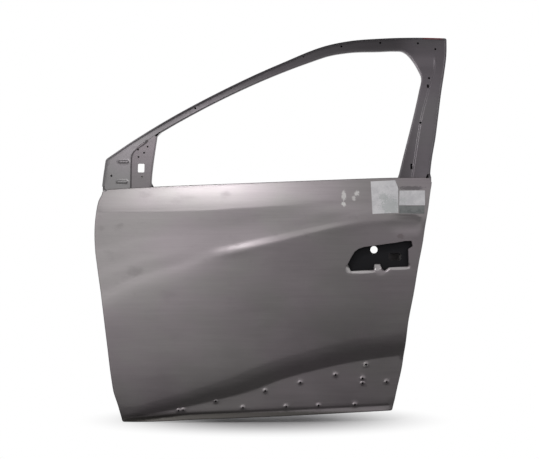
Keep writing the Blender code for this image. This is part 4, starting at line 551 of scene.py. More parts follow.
def rounded_box(centre, half, radius, corner_points=6):
    """Outline of a rectangle with round corners, as side view points."""
    out = []
    radius = min(radius, half[0], half[1])
    for sx, sz, start in ((1, 1, 0), (-1, 1, 90), (-1, -1, 180), (1, -1, 270)):
        for k in range(corner_points):
            angle = math.radians(start + 90 * k / (corner_points - 1))
            px = sx * (half[0] - radius) + radius * math.cos(angle)
            pz = sz * (half[1] - radius) + radius * math.sin(angle)
            out.append(Vector((centre[0] + px, centre[1] + pz)))
    return out


def circle(centre, radius, count):
    """Outline of a round hole, as side view points."""
    return [Vector((centre[0] + radius * math.cos(2 * math.pi * k / count),
                    centre[1] + radius * math.sin(2 * math.pi * k / count))) for k in range(count)]


def box_distance(x, z, centre, half, radius):
    """Distance outside a rectangle with round corners, negative inside."""
    dx = abs(x - centre[0]) - half[0] + radius
    dz = abs(z - centre[1]) - half[1] + radius
    return math.hypot(max(dx, 0), max(dz, 0)) + min(max(dx, dz), 0) - radius


REAR_CHANNEL_LEAN = 0.17
LATCH_FIELD_Z = -0.250
LATCH_FIELD_HALF = (0.054, 0.110)
LATCH_FIELD_GAP = 0.003


def rear_leg_x(z):
    """Front edge of the pillar's leg, which the rear glass channel continues."""
    x, top_z = OPENING_REAR[0]
    return x - REAR_CHANNEL_LEAN * (top_z - z)


LATCH_FIELD = (rear_leg_x(LATCH_FIELD_Z) - LATCH_FIELD_GAP - LATCH_FIELD_HALF[0], LATCH_FIELD_Z)

# Pressed fields of the panel, openings and holes cut through it: centre, half sizes, corner radius
PRESS_DRAFT = 0.010
PANEL_PRESSES = [((0.235, -0.430), (0.098, 0.098), 0.098, -0.007),
                 ((0.545, -0.030), (0.150, 0.036), 0.020, 0.006),
                 ((0.560, -0.270), (0.190, 0.150), 0.050, -0.006),
                 (LATCH_FIELD, LATCH_FIELD_HALF, 0.030, -0.006),
                 ((0.620, -0.515), (0.230, 0.022), 0.015, -0.005),
                 ((0.235, -0.190), (0.085, 0.075), 0.030, -0.005)]
PANEL_CUTS = [((0.235, -0.430), (0.078, 0.078), 0.078),
              ((0.490, -0.270), (0.095, 0.115), 0.040),
              ((0.680, -0.270), (0.045, 0.110), 0.030),
              (LATCH_FIELD, (0.034, 0.086), 0.022),
              ((0.235, -0.190), (0.058, 0.048), 0.020),
              ((0.8825, -0.0576), (0.020, 0.015), 0.015),
              ((0.1267, 0.2066), (0.013, 0.017), 0.004)]
REGULATOR_HOLES = [
    (0.340, -0.060), (0.340, -0.360), (0.760, -0.060), (0.790, -0.380), (0.130, -0.060),
    (0.945, -0.200), (0.440, -0.450), (0.930, -0.440),
]
REGULATOR_HOLE = 0.009
BELT_STEP_FOOT = 0.075
FRAME_FACE_START = 0.005
FRAME_FACE_TURN = 0.060


def pressed_by(fields, draft, x, z):
    """How far the pressed fields of a sheet move it off its plain face."""
    total = 0.0
    for centre, half, radius, depth in fields:
        inside = -box_distance(x, z, centre, half, radius)
        total += depth * ease(inside / draft)
    return total


def fold_lines(fields, insets, least_radius, corner_points):
    """Loops inside pressed fields, which the triangles follow down their drafted walls."""
    return [rounded_box(centre, (half[0] - inset, half[1] - inset), max(radius - inset, least_radius),
                        corner_points) for centre, half, radius, _ in fields for inset in insets]


def panel_y(x, z):
    """The inner panel's face, its step at the belt and the inner side of the frame."""
    rise = z - belt_z(x)
    body = mix(FACE_Y, BELT_FACE_Y, ease((rise + BELT_STEP_FOOT) / BELT_STEP))
    face = frame_plane(x, z) + FRAME_DEPTH
    plain = mix(body, face, ease((rise + FRAME_FACE_START) / FRAME_FACE_TURN))
    return plain + pressed_by(PANEL_PRESSES, PRESS_DRAFT, x, z)


def corners_of(loop):
    """A loop's points as one array, for the sums over many points."""
    return np.array([(p.x, p.y) for p in loop])


def inside_all(loop, points):
    """Which of many points lie inside a closed loop."""
    a = corners_of(loop)
    b = np.roll(a, -1, axis=0)
    x = points[:, 0][:, None]
    z = points[:, 1][:, None]
    with np.errstate(divide="ignore", invalid="ignore"):
        crossing = (b[:, 0] - a[:, 0]) * (z - a[:, 1]) / (b[:, 1] - a[:, 1]) + a[:, 0]
    hits = ((a[:, 1] > z) != (b[:, 1] > z)) & (x < crossing)
    return np.sum(hits, axis=1) % 2 == 1


def distance_all(loop, points):
    """Distance of many points from a closed loop."""
    a = corners_of(loop)
    runs = np.roll(a, -1, axis=0) - a
    best = np.full(len(points), 1.0)
    for start, run in zip(a, runs):
        along = np.clip((points - start) @ run / max(run @ run, 1e-12), 0.0, 1.0)
        best = np.minimum(best, np.linalg.norm(points - start - along[:, None] * run, axis=1))
    return best


def fill(bm, outline, holes, rows, height, margin=0.004, folds=()):
    """Fill an outline of the side view with triangles, and lift each point to its height.

    holes are cut out, folds are closed loops that the triangles follow, and rows are points
    in between, which are left out near a loop.
    """
    points = []
    edges = []
    loops = [outline] + list(holes)
    loops += [fold for fold in folds if inside_all(outline, corners_of(fold)).all()]
    for loop in loops:
        first = len(points)
        points.extend(loop)
        edges.extend((first + k, first + (k + 1) % len(loop)) for k in range(len(loop)))
    spread = corners_of([p for row in rows for p in row])
    free = inside_all(outline, spread)
    for hole in holes:
        free &= ~inside_all(hole, spread)
    for loop in loops:
        free &= distance_all(loop, spread) >= margin
    points.extend(Vector(p) for p in spread[free])
    verts, _, tris, _, _, _ = delaunay_2d_cdt(points, edges, [], 0, 1e-7)
    made = [bm.verts.new((v.x, height(v.x, v.y), v.y)) for v in verts]
    flat_verts = corners_of(verts)
    middles = flat_verts[np.array(tris)].mean(axis=1)
    wanted = inside_all(outline, middles)
    for hole in holes:
        wanted &= ~inside_all(hole, middles)
    for tri, keep in zip(tris, wanted):
        if keep:
            bm.faces.new([made[k] for k in tri])
    bmesh.ops.delete(bm, geom=[v for v in made if not v.link_faces], context='VERTS')


def strip(bm, rows, closed=False):
    """Faces between rows of points that all have the same count."""
    made = [[bm.verts.new(p) for p in row] for row in rows]
    for low, high in zip(made, made[1:]):
        count = len(low)
        for k in range(count if closed else count - 1):
            after = (k + 1) % count
            bm.faces.new((low[k], low[after], high[after], high[k]))


def flat(p):
    """The side view point of a point in space."""
    return Vector((p.x, p.z))


def grid_rows(heights, first, last, step):
    """Points of the side view along height functions, at even stations."""
    count = math.ceil((last - first) / step)
    stations = [mix(first, last, k / count) for k in range(count + 1)]
    return [[Vector((x, height(x))) for x in stations] for height in heights]


def bent_rows(bend, points_at, height):
    """Rows of points round a bend, given as distances in and lifts off the sheet's own height."""
    return [[Vector((p.x, height(p.x, p.y) + lift, p.y)) for p in points_at(away)] for away, lift in bend]


def beside(line, offsets):
    """Lines that run beside a line of the drawing."""
    return [lambda x, d=d: line(x) + d for d in offsets]


def mesh_object(name, bm):
    """A new object in the scene that takes over a finished mesh."""
    mesh = bpy.data.meshes.new(name)
    bm.to_mesh(mesh)
    bm.free()
    made = bpy.data.objects.new(name, mesh)
    bpy.context.scene.collection.objects.link(made)
    return made


def apply(piece, modifier):
    """Make a modifier's result part of the mesh."""
    bpy.ops.object.select_all(action='DESELECT')
    bpy.context.view_layer.objects.active = piece
    piece.select_set(True)
    bpy.ops.object.modifier_apply(modifier=modifier.name)


WELD_REACH = 0.00001
SHARP_ANGLE = math.radians(38)


def pressed_sheet(name, bm, thickness, mat):
    """A finished piece from the middle surface of a stamping, with smooth bends and clean edges."""
    bmesh.ops.remove_doubles(bm, verts=bm.verts, dist=WELD_REACH)
    bmesh.ops.dissolve_degenerate(bm, edges=bm.edges, dist=WELD_REACH)
    bmesh.ops.recalc_face_normals(bm, faces=bm.faces)
    piece = mesh_object(name, bm)
    solidify = piece.modifiers.new("sheet", 'SOLIDIFY')
    solidify.thickness = thickness
    solidify.offset = 0.0
    solidify.use_even_offset = True
    solidify.use_quality_normals = True
    apply(piece, solidify)
    piece.data.materials.append(mat)
    piece.data.shade_smooth()
    piece.data.set_sharp_from_angle(angle=SHARP_ANGLE)
    return piece


def cut(piece, blocks):
    """Cut closed blocks, each a centre and a size, out of a piece."""
    bm = bmesh.new()
    for centre, size in blocks:
        made = bmesh.ops.create_cube(bm, size=1.0)["verts"]
        for v in made:
            v.co = Vector([centre[k] + v.co[k] * size[k] for k in range(3)])
    cut_with(piece, bm)


DRILL_REACH = 0.02


def drill(piece, x, places, radius):
    """Drill round holes along X at (y, z) places."""
    bm = bmesh.new()
    for y, z in places:
        made = bmesh.ops.create_cone(bm, cap_ends=True, segments=24, radius1=radius, radius2=radius,
                                     depth=DRILL_REACH)
        for v in made["verts"]:
            v.co = Vector((x + v.co.z, y + v.co.x, z + v.co.y))
    cut_with(piece, bm)


def cut_with(piece, bm):
    """Take a closed mesh away from a piece."""
    bmesh.ops.recalc_face_normals(bm, faces=bm.faces)
    tool = mesh_object("tool", bm)
    boolean = piece.modifiers.new("cut", 'BOOLEAN')
    boolean.operation = 'DIFFERENCE'
    boolean.solver = 'EXACT'
    boolean.object = tool
    apply(piece, boolean)
    bpy.data.objects.remove(tool, do_unlink=True)


def new_group(name, inputs, outputs):
    """A shader node group with float, vector or colour sockets, its wiring and both its ends."""
    kinds = {"f": 'NodeSocketFloat', "v": 'NodeSocketVector', "c": 'NodeSocketColor'}
    group = bpy.data.node_groups.new(name, 'ShaderNodeTree')
    for socket, kind in inputs:
        group.interface.new_socket(socket, in_out='INPUT', socket_type=kinds[kind])
    for socket, kind in outputs:
        group.interface.new_socket(socket, in_out='OUTPUT', socket_type=kinds[kind])
    given = group.nodes.new('NodeGroupInput').outputs
    out = group.nodes.new('NodeGroupOutput').inputs
    return group, Wiring(group), given, out


class Wiring:
    """Short ways to add nodes to a tree and to join them."""

    def __init__(self, tree):
        self.tree = tree

    def link(self, start, end):
        self.tree.links.new(start, end)

    def put(self, socket, value):
        if isinstance(value, bpy.types.NodeSocket):
            self.link(value, socket)
        else:
            socket.default_value = value

    def math(self, operation, a, b=0.0, c=0.0):
        node = self.tree.nodes.new('ShaderNodeMath')
        node.operation = operation
        for socket, value in zip(node.inputs, (a, b, c)):
            self.put(socket, value)
        return node.outputs[0]

    def vector(self, operation, a, b=(0.0, 0.0, 0.0), scale=1.0):
        node = self.tree.nodes.new('ShaderNodeVectorMath')
        node.operation = operation
        self.put(node.inputs[0], a)
        self.put(node.inputs[1], b)
        if operation == 'SCALE':
            self.put(node.inputs["Scale"], scale)
        return node.outputs["Value"] if operation in ('LENGTH', 'DISTANCE') else node.outputs["Vector"]

    def noise(self, vector, scale, detail=3.0, rough=0.55):
        node = self.tree.nodes.new('ShaderNodeTexNoise')
        self.put(node.inputs["Vector"], self.vector('MULTIPLY', vector, scale))
        node.inputs["Scale"].default_value = 1.0
        node.inputs["Detail"].default_value = detail
        node.inputs["Roughness"].default_value = rough
        return node.outputs[0]

    def ramp(self, value, low, high, to_low=0.0, to_high=1.0):
        node = self.tree.nodes.new('ShaderNodeMapRange')
        node.interpolation_type = 'SMOOTHSTEP'
        for socket, number in zip(node.inputs, (value, low, high, to_low, to_high)):
            self.put(socket, number)
        return node.outputs[0]

    def blend(self, share, a, b):
        node = self.tree.nodes.new('ShaderNodeMix')
        node.data_type = 'RGBA'
        self.put(node.inputs["Factor"], share)
        self.put(node.inputs["A"], a)
        self.put(node.inputs["B"], b)
        return node.outputs["Result"]

    def group(self, group, **values):
        node = self.tree.nodes.new('ShaderNodeGroup')
        node.node_tree = group
        for name, value in values.items():
            self.put(node.inputs[name], value)
        return node

    def place(self):
        return self.tree.nodes.new('ShaderNodeTexCoord').outputs["Object"]

    def axes(self, vector):
        node = self.tree.nodes.new('ShaderNodeSeparateXYZ')
        self.link(vector, node.inputs[0])
        return node.outputs

    def mirrored(self):
        """1 for rays that come off a shiny surface or through a clear one, and all kinds of ray."""
        path = self.tree.nodes.new('ShaderNodeLightPath').outputs
        return self.math('MAXIMUM', path["Is Glossy Ray"], path["Is Transmission Ray"]), path

    def shader_mix(self, share, first, second):
        node = self.tree.nodes.new('ShaderNodeMixShader')
        for socket, start in zip(node.inputs, (share, first, second)):
            self.link(start, socket)
        return node.outputs[0]

    def bump(self, height, strength, distance):
        node = self.tree.nodes.new('ShaderNodeBump')
        node.inputs["Strength"].default_value = strength
        node.inputs["Distance"].default_value = distance
        self.put(node.inputs["Height"], height)
        return node.outputs["Normal"]


def new_material(name):
    """A fresh material with its wiring and its shader."""
    mat = bpy.data.materials.new(name)
    mat.use_nodes = True
    return mat, Wiring(mat.node_tree), mat.node_tree.nodes["Principled BSDF"]


# Finish of mill-rolled steel: fine lines along the coil, cloudy oil film and small stains
rolled, w, given, out = new_group(
    "rolled_steel",
    [("Place", "v"), ("Tone", "c"), ("Grain", "f"), ("Cloud", "f"), ("Stain", "f"), ("Rough", "f")],
    [("Color", "c"), ("Roughness", "f"), ("Height", "f")])
FINE_LINES = (9.0, 60.0, 260.0)
BROAD_LINES = (3.0, 20.0, 75.0)
CLOUDS = (3.1, 3.1, 4.3)
lines = w.noise(given["Place"], FINE_LINES, 4.0, 0.65)
wide_lines = w.noise(given["Place"], BROAD_LINES, 2.0, 0.5)
cloud = w.noise(given["Place"], CLOUDS, 3.0, 0.55)
tint = w.noise(w.vector('ADD', given["Place"], (7.3, 1.9, 4.1)), (5.0, 5.0, 7.0), 2.0, 0.5)
spots = w.noise(w.vector('ADD', given["Place"], (2.7, 8.1, 0.6)), (16.0, 16.0, 22.0), 4.0, 0.6)
spots = w.ramp(spots, 0.56, 0.72)
streaks = w.math('ADD', w.math('MULTIPLY', lines, 0.65), w.math('MULTIPLY', wide_lines, 0.35))
level = w.math('MULTIPLY_ADD', w.math('SUBTRACT', streaks, 0.5), given["Grain"], 1.0)
level = w.math('MULTIPLY_ADD', w.math('SUBTRACT', cloud, 0.5), given["Cloud"], level)
level = w.math('SUBTRACT', level, w.math('MULTIPLY', spots, given["Stain"]))
hue = w.blend(w.ramp(tint, 0.35, 0.65), (1.02, 0.99, 1.01, 1.0), (0.99, 1.005, 0.98, 1.0))
toned = w.vector('MULTIPLY', given["Tone"], hue)
w.link(w.vector('SCALE', toned, scale=level), out["Color"])
rough = w.math('MULTIPLY_ADD', w.math('SUBTRACT', cloud, 0.5), 0.18, given["Rough"])
rough = w.math('MULTIPLY_ADD', spots, 0.05, rough)
w.link(w.math('MULTIPLY_ADD', w.math('SUBTRACT', lines, 0.5), 0.10, rough), out["Roughness"])
w.link(streaks, out["Height"])


def steel(name, tone, metallic, rough, grain=0.30, cloud=0.35, stain=0.04, bump=0.10):
    """A material of rolled steel sheet; returns it with its wiring, shader and finish."""
    mat, w, shader = new_material(name)
    shader.inputs["Metallic"].default_value = metallic
    finish = w.group(rolled, Place=w.place(), Tone=(*tone, 1.0), Grain=grain, Cloud=cloud, Stain=stain,
                     Rough=rough)
    w.link(finish.outputs["Color"], shader.inputs["Base Color"])
    w.link(finish.outputs["Roughness"], shader.inputs["Roughness"])
    w.link(w.bump(finish.outputs["Height"], bump, 0.0004), shader.inputs["Normal"])
    return mat, w, shader, finish


# A smudge: an oval in the side view with a ragged edge
smudge, w, given, out = new_group(
    "smudge", [("Place", "v"), ("Centre", "v"), ("Size", "v"), ("Ragged", "f")], [("Mask", "f")])
away = w.vector('DIVIDE', w.vector('SUBTRACT', given["Place"], given["Centre"]), given["Size"])
edge = w.math('SUBTRACT', w.noise(given["Place"], (260.0, 260.0, 260.0), 3.0, 0.6), 0.5)
away = w.vector('LENGTH', w.vector('MULTIPLY', away, (1.0, 0.0, 1.0)))
reach = w.math('MULTIPLY_ADD', edge, given["Ragged"], away)
w.link(w.ramp(reach, 1.15, 0.75), out["Mask"])


def smear(w, shader, centre, size, colour, ragged=1.2, strength=1.0, rough=None):
    """Lay a smudge over whatever already feeds the shader's colour; centre and size are (x, z)."""
    mask = w.group(smudge, Place=w.place(), Centre=(centre[0], 0.0, centre[1]),
                   Size=(size[0], 1.0, size[1]), Ragged=ragged).outputs["Mask"]
    mask = w.math('MULTIPLY', mask, strength)
    below = shader.inputs["Base Color"].links[0].from_socket
    w.link(w.blend(mask, below, (*colour, 1.0)), shader.inputs["Base Color"])
    if rough is not None:
        below = shader.inputs["Roughness"].links[0].from_socket
        w.link(w.math('MULTIPLY_ADD', mask, rough, below), shader.inputs["Roughness"])


panel_steel = steel("panel_steel", (0.30, 0.285, 0.295), metallic=0.85, rough=0.42)[0]

bm = bmesh.new()
outer_row = []
for sample in panel_edge:
    share = frame_share(*sample.point)
    at = sample.inset(mix(PANEL_EDGE, FRAME_EDGE, share))
    lift = mix(hem_y(sample, PANEL_EDGE) + HEM_SPREAD / 2,
               frame_plane(at.x, at.y) + FRAME_FLANGE + FRAME_LAP, share)
    outer_row.append(Vector((at.x, lift, at.y)))
rings = [outer_row]
rings += [[wall_point(sample, ring) for sample in panel_edge] for ring in range(len(BODY_RINGS))]


CROSSING_WINDOW = 24


def uncross(row):
    """Pull the points of a loop that overlaps itself at a tight corner onto its crossing."""
    count = len(row)
    for first in range(count):
        for second in range(first + 2, min(first + CROSSING_WINDOW, count - 1)):
            a, b = flat(row[first]), flat(row[first + 1])
            c, d = flat(row[second]), flat(row[second + 1])
            hit = intersect_line_line_2d(a, b, c, d)
            if hit is not None and (hit - a).length > 1e-7 and (hit - d).length > 1e-7:
                for k in range(first + 1, second + 1):
                    row[k] = Vector((hit.x, row[first].y, hit.y))


uncross(rings[-1])
strip(bm, rings, closed=True)
panel_outline = [flat(p) for p in rings[-1]]

# The window opening's wall: distance into the panel and depth; the last row joins the face. At
# the foot of the opening it rolls over into the panel just under the belt line.
OPENING_STEP = 0.010
REVEAL_ROWS = [(0.0020, 0.006), (0.0021, 0.020), (0.0024, 0.033), (0.0028, 0.0358), (0.0035, 0.0374),
               (0.0045, None)]
FOOT_COUNT = 60
FOOT_DROP = 0.004
FOOT_TURN = 0.022
FOOT_ROLL = 0.006
FOOT_ROLL_SPAN = 0.0025
opening = thin(spline(OPENING_REAR + OPENING_HEADER + OPENING_SAIL + SAIL_FOOT), OPENING_STEP)
front_x, rear_x = opening[-1].x, opening[0].x
for k in range(1, FOOT_COUNT):
    x = mix(front_x, rear_x, k / FOOT_COUNT)
    opening.append(Vector((x, belt_z(x) - FOOT_DROP)))
reveal = []
for grow, depth in REVEAL_ROWS:
    row = []
    for at in grown(opening, grow):
        wall = panel_y(at.x, at.y)
        if depth is not None:
            share = ease((at.y - belt_z(at.x) - FOOT_DROP) / FOOT_TURN)
            rolled_in = wall - FOOT_ROLL * (REVEAL_ROWS[-1][0] - grow) / FOOT_ROLL_SPAN
            wall = mix(rolled_in, frame_plane(at.x, at.y) + depth, share)
        row.append(Vector((at.x, wall, at.y)))
    reveal.append(row)
strip(bm, reveal, closed=True)

holes = [rounded_box(c, h, r, corner_points=10 if r > 0.05 else 6) for c, h, r in PANEL_CUTS]
holes += [circle(p, REGULATOR_HOLE / 2, 20) for p in REGULATOR_HOLES]
folds = fold_lines(PANEL_PRESSES, (0.0, 0.0025, 0.0050, 0.0075, 0.0100), 0.004, 9)

# Rows of points: close to the belt, up the frame, and down the face of the panel
BELT_ROWS = (0.052, 0.040, 0.028, 0.016, 0.006, -0.002, -0.008, -0.014, -0.020, -0.026, -0.030,
             -0.034, -0.040, -0.046, -0.052, -0.058, -0.064, -0.070, -0.075, -0.080)
FRAME_FOOT_RISE = 0.064
FRAME_TOP_RISE = 0.500
FACE_TOP = -0.086
FACE_Z = (0.084, -0.600)
GRID_END = 1.14
PANEL_GRID = 0.012
level_lines = beside(belt_z, BELT_ROWS + tuple(np.arange(FRAME_FOOT_RISE, FRAME_TOP_RISE, PANEL_GRID)))
level_lines += [lambda x, z=z: min(z, belt_z(x) + FACE_TOP) for z in np.arange(*FACE_Z, -PANEL_GRID)]
fill(bm, panel_outline, [[flat(p) for p in reveal[-1]]] + holes,
     grid_rows(level_lines, 0.0, GRID_END, PANEL_GRID), panel_y, folds=folds)
panel = pressed_sheet("panel_pressing", bm, PANEL_SHEET, panel_steel)

LATCH_BOLTS = [(0.002, 0.027), (-0.018, -0.027), (0.022, -0.027)]
LATCH_SLOT_Y = 0.002
for z, x in ((0.0, 0.0), (LOWER_HINGE_Z, LOWER_HINGE_X)):
    bolts = [(0.0, z - HINGE_BOLT_SPACING / 2), (0.0, z + HINGE_BOLT_SPACING / 2)]
    drill(panel, x, bolts, HINGE_BOLT_HOLE / 2)
drill(panel, LATCH_X, [(y, LATCH_Z + z) for y, z in LATCH_BOLTS], LATCH_BOLT_HOLE / 2)
CHECK_LOW, CHECK_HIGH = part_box("check_strap_reinforcement")
check_middle = (CHECK_LOW + CHECK_HIGH) / 2
CHECK_SLOT = (0.012, 0.022)
cut(panel, [((LATCH_X, LATCH_SLOT_Y, LATCH_Z), (0.040, LATCH_SLOT[1], LATCH_SLOT[0])),
            ((CHECK_LOW.x, check_middle.y, check_middle.z), (0.020, *CHECK_SLOT))])
panel.data.set_sharp_from_angle(angle=SHARP_ANGLE)
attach(panel, "root")
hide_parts("inner_panel")

# Window frame: the outer half of the frame, pressed in one from 0.8 mm steel with the front of
# the mirror sail, the header and the rear pillar, and spot welded to the panel's flange. The
# header has a row of holes for the seal's clips, and the sail has two stiffening beads.
HEADER_HOLES = [
    (0.3020, 0.3995), (0.4169, 0.4659), (0.5331, 0.5237), (0.6527, 0.5752), (0.7780, 0.6101),
    (0.9067, 0.6230), (1.0313, 0.6221), (1.0879, 0.6021),
]
PILLAR_HOLES = [(1.0621, 0.5018), (1.0569, 0.4742), (1.0273, 0.3515), (0.9947, 0.2089)]
FRAME_HOLE = 0.0070
SAIL_SEAM = [
    (0.1472, 0.2938), (0.1287, 0.283), (0.1139, 0.269), (0.1051, 0.2518), (0.098, 0.2284),
    (0.0990, 0.185), (0.0997, 0.1434),
]
PILLAR_STEP = 0.004
STEP_WIDTH = 0.006
STEP_TOP_Z = 0.585
PILLAR_START = 0.90
pillar_step_x = fair([
    (0.10, 0.985), (0.23, 1.0055), (0.36, 1.0293), (0.469, 1.0608), (0.544, 1.082), (0.575, 1.083),
])


def pillar_inset(x, z):
    """The part of the rear pillar beside the glass lies lower than the rest."""
    near_glass = ease((pillar_step_x(z) - x + STEP_WIDTH / 2) / STEP_WIDTH)
    on_pillar = ease((x - PILLAR_START) / 0.03) * ease((STEP_TOP_Z - z) / 0.050)
    return PILLAR_STEP * near_glass * on_pillar


def frame_y(x, z):
    """Middle of the outer frame's sheet."""
    return frame_plane(x, z) + pillar_inset(x, z)


# The edge turned inboard along the window opening: distance into the frame, and lift
FLANGE_BEND = [(0.0040, 0.0), (0.0026, 0.0002), (0.0016, 0.0006), (0.0009, 0.0016), (0.0005, 0.0030),
               (0.0004, 0.0140)]
LEG_DROP = 0.046
LEG_INSET = 0.021
SAIL_BEADS = [((0.0740, 0.2250), (0.018, 0.0055), 0.0055, -0.0022),
              ((0.0700, 0.1600), (0.019, 0.0055), 0.0055, -0.0022)]
SAIL_BEAD_DRAFT = 0.004
SAIL_TOOLING_HOLE = (0.0352, 0.1800)
PILLAR_SLOTS = [((1.0569, 0.4742), (0.0035, 0.0060)), ((0.9947, 0.2089), (0.0035, 0.0095))]


def frame_face(x, z):
    """The outer frame's sheet with the beads of the sail."""
    return frame_y(x, z) + pressed_by(SAIL_BEADS, SAIL_BEAD_DRAFT, x, z)


# The joint of the two sail sheets: upright, then bent to the rear, with a dark line of painted shade along
# it, as the shadow in the gap between the sheets
SEAM_X = 0.0985
SEAM_BEND = 0.0487
SEAM_BEND_Z = (0.222, 0.294)
SEAM_FADE = 0.004
SEAM_EDGE = (0.0034, 0.0014)
# Painted shade: the dark colour laid along the joint
SEAM_SHADE_TONE = (0.045, 0.038, 0.041, 1.0)
SEAM_BEND_POWER = 2.5
SEAM_SLANT_POWER = 1.5
SEAM_STRENGTH = 0.80
seam_shade_mark, w, given, out = new_group("seam_shade_mark", [("Place", "v")], [("Mask", "f")])
axes = w.axes(given["Place"])
bend = w.ramp(axes["Z"], *SEAM_BEND_Z)
seam_at = w.math('MULTIPLY_ADD', w.math('POWER', bend, SEAM_BEND_POWER), SEAM_BEND, SEAM_X)
away = w.math('ABSOLUTE', w.math('SUBTRACT', axes["X"], seam_at))
# Where the joint slants, the distance along X is more than the distance square to it
slant = w.math('MULTIPLY_ADD', w.math('POWER', bend, SEAM_SLANT_POWER), -0.5, 1.0)
away = w.math('MULTIPLY', away, slant)
below_top = w.ramp(axes["Z"], SEAM_BEND_Z[1] + SEAM_FADE, SEAM_BEND_Z[1])
w.link(w.math('MULTIPLY', w.ramp(away, *SEAM_EDGE), below_top), out["Mask"])


def paint_seam_shade(w, shader):
    """Paint shade into the colour along the joint of the sail."""
    mask = w.group(seam_shade_mark, Place=w.place()).outputs["Mask"]
    mask = w.math('MULTIPLY', mask, SEAM_STRENGTH)
    below = shader.inputs["Base Color"].links[0].from_socket
    w.link(w.blend(mask, below, SEAM_SHADE_TONE), shader.inputs["Base Color"])


frame_steel, w, shader, finish = steel("frame_steel", (0.160, 0.149, 0.158), metallic=0.85, rough=0.42,
                                       grain=0.20, cloud=0.45, bump=0.05)

# The turned outer edge: inset from the outline and lift off the frame's face
OUTER_BEND = [(FRAME_EDGE, FRAME_FLANGE), (0.0050, FRAME_FLANGE), (0.0066, FRAME_FLANGE - 0.0006),
              (0.0076, FRAME_FLANGE - 0.0022), (0.0090, 0.0030), (0.0096, 0.0012), (0.0106, 0.0003),
              (0.0120, 0.0)]
FLANGE_END = 0.011
bm = bmesh.new()
rows = bent_rows(OUTER_BEND, lambda inset: [sample.inset(inset) for sample in frame_edge], frame_plane)

# The edge runs on at both feet, to a small height above the belt
RUN_LIMITS = (0.1, 4.0)
for row in rows:
    for end, second in ((row[0], row[1]), (row[-1], row[-2])):
        run = end - second
        share = (end.z - belt_z(end.x) - FLANGE_END) / -run.z
        if RUN_LIMITS[0] < share < RUN_LIMITS[1]:
            low = end + run * share
            if end is row[0]:
                row.insert(0, low)
            else:
                row.append(low)
strip(bm, rows)

header = [(p, -n) for p, n in with_normals(thin(spline(OPENING_REAR + OPENING_HEADER), OPENING_STEP))]
rear_top = header[0][0]
rear_z = belt_z(rear_top.x) - LEG_DROP
for share in (0.25, 0.5, 0.75, 1.0):
    z = mix(rear_top.y, rear_z, share)
    header.insert(0, (Vector((rear_leg_x(z), z)), Vector((1.0, 0.0))))
flange = bent_rows(FLANGE_BEND, lambda grow: [p + n * grow for p, n in header], frame_y)
strip(bm, flange)

# The frame's two feet run on below the belt, narrower, and end behind the skin
leg_z = belt_z(0.0) - 0.6 * LEG_DROP
sail_x = edge_x(FRONT_EDGE, leg_z) + LEG_INSET
seam = [Vector(p) for p in reversed(SAIL_SEAM)]
seam.insert(0, Vector((seam[0].x, leg_z - 0.004)))
pillar_x = edge_x(REAR_EDGE, rear_z) - LEG_INSET
frame_outline = [flat(p) for p in rows[-1]]
frame_outline += [Vector((sail_x - 0.006, belt_z(sail_x) + 0.004)), Vector((sail_x + 0.004, leg_z))]
frame_outline += spline(seam, 0.006)
frame_outline += [flat(p) for p in reversed(flange[0])]
frame_outline += [Vector((pillar_x, rear_z)), Vector((pillar_x + 0.010, belt_z(pillar_x) + 0.003))]
holes = [circle(p, FRAME_HOLE / 2, 16) for p in HEADER_HOLES + PILLAR_HOLES + [SAIL_TOOLING_HOLE]]
holes += [rounded_box(c, h, 0.003) for c, h in PILLAR_SLOTS]
folds = fold_lines(SAIL_BEADS, (0.0, 0.0013, 0.0027, 0.0040), 0.0, 8)

# Rows of points: even ones over the frame, and close ones along the step of the pillar
STEP_OFFSETS = (-0.0045, -0.003, -0.0015, 0.0, 0.0015, 0.003, 0.0045)
STEP_CLEAR = 0.0085
STEP_ROW_POINTS = 60
STEP_ROW_Z = (0.13, 0.580)
FRAME_GRID = 0.008
FRAME_ROW_STEP = 0.006
frame_rows = beside(belt_z, np.arange(-LEG_DROP, FRAME_TOP_RISE, FRAME_ROW_STEP))
spread_rows = grid_rows(frame_rows, 0.0, GRID_END, FRAME_GRID)
step_heights = [mix(*STEP_ROW_Z, k / (STEP_ROW_POINTS - 1)) for k in range(STEP_ROW_POINTS)]
step_rows = [[Vector((pillar_step_x(z) + offset, z)) for z in step_heights] for offset in STEP_OFFSETS]
near_step = [[p for p in row if abs(p.x - pillar_step_x(p.y)) > STEP_CLEAR or p.y > 0.59]
             for row in spread_rows]
fill(bm, frame_outline, holes, near_step + step_rows, frame_face, margin=0.0025, folds=folds)

# Painted light and shade: the steel's colour is darker along the header, lighter on the sail and between on
# the pillar, standing in for how the light falls on each
HEADER_SHADE_TONE = (0.133, 0.124, 0.131, 1.0)
SAIL_LIGHT_TONE = (0.285, 0.274, 0.281, 1.0)
PILLAR_SHADE_TONE = (0.230, 0.215, 0.228, 1.0)
SAIL_SPAN = (0.24, 0.06)
PILLAR_SPAN = (0.95, 1.04)
x_axis = w.axes(w.place())["X"]
toned = w.blend(w.ramp(x_axis, *SAIL_SPAN), HEADER_SHADE_TONE, SAIL_LIGHT_TONE)
w.link(w.blend(w.ramp(x_axis, *PILLAR_SPAN), toned, PILLAR_SHADE_TONE), finish.inputs["Tone"])
paint_seam_shade(w, shader)
RED_PAINT = (0.36, 0.05, 0.06)
smear(w, shader, (1.085, 0.6425), (0.036, 0.0050), RED_PAINT, ragged=0.9, strength=0.85, rough=0.1)
frame_piece = pressed_sheet("frame_pressing", bm, FRAME_SHEET, frame_steel)
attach(frame_piece, "root")
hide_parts("window_frame_outer")

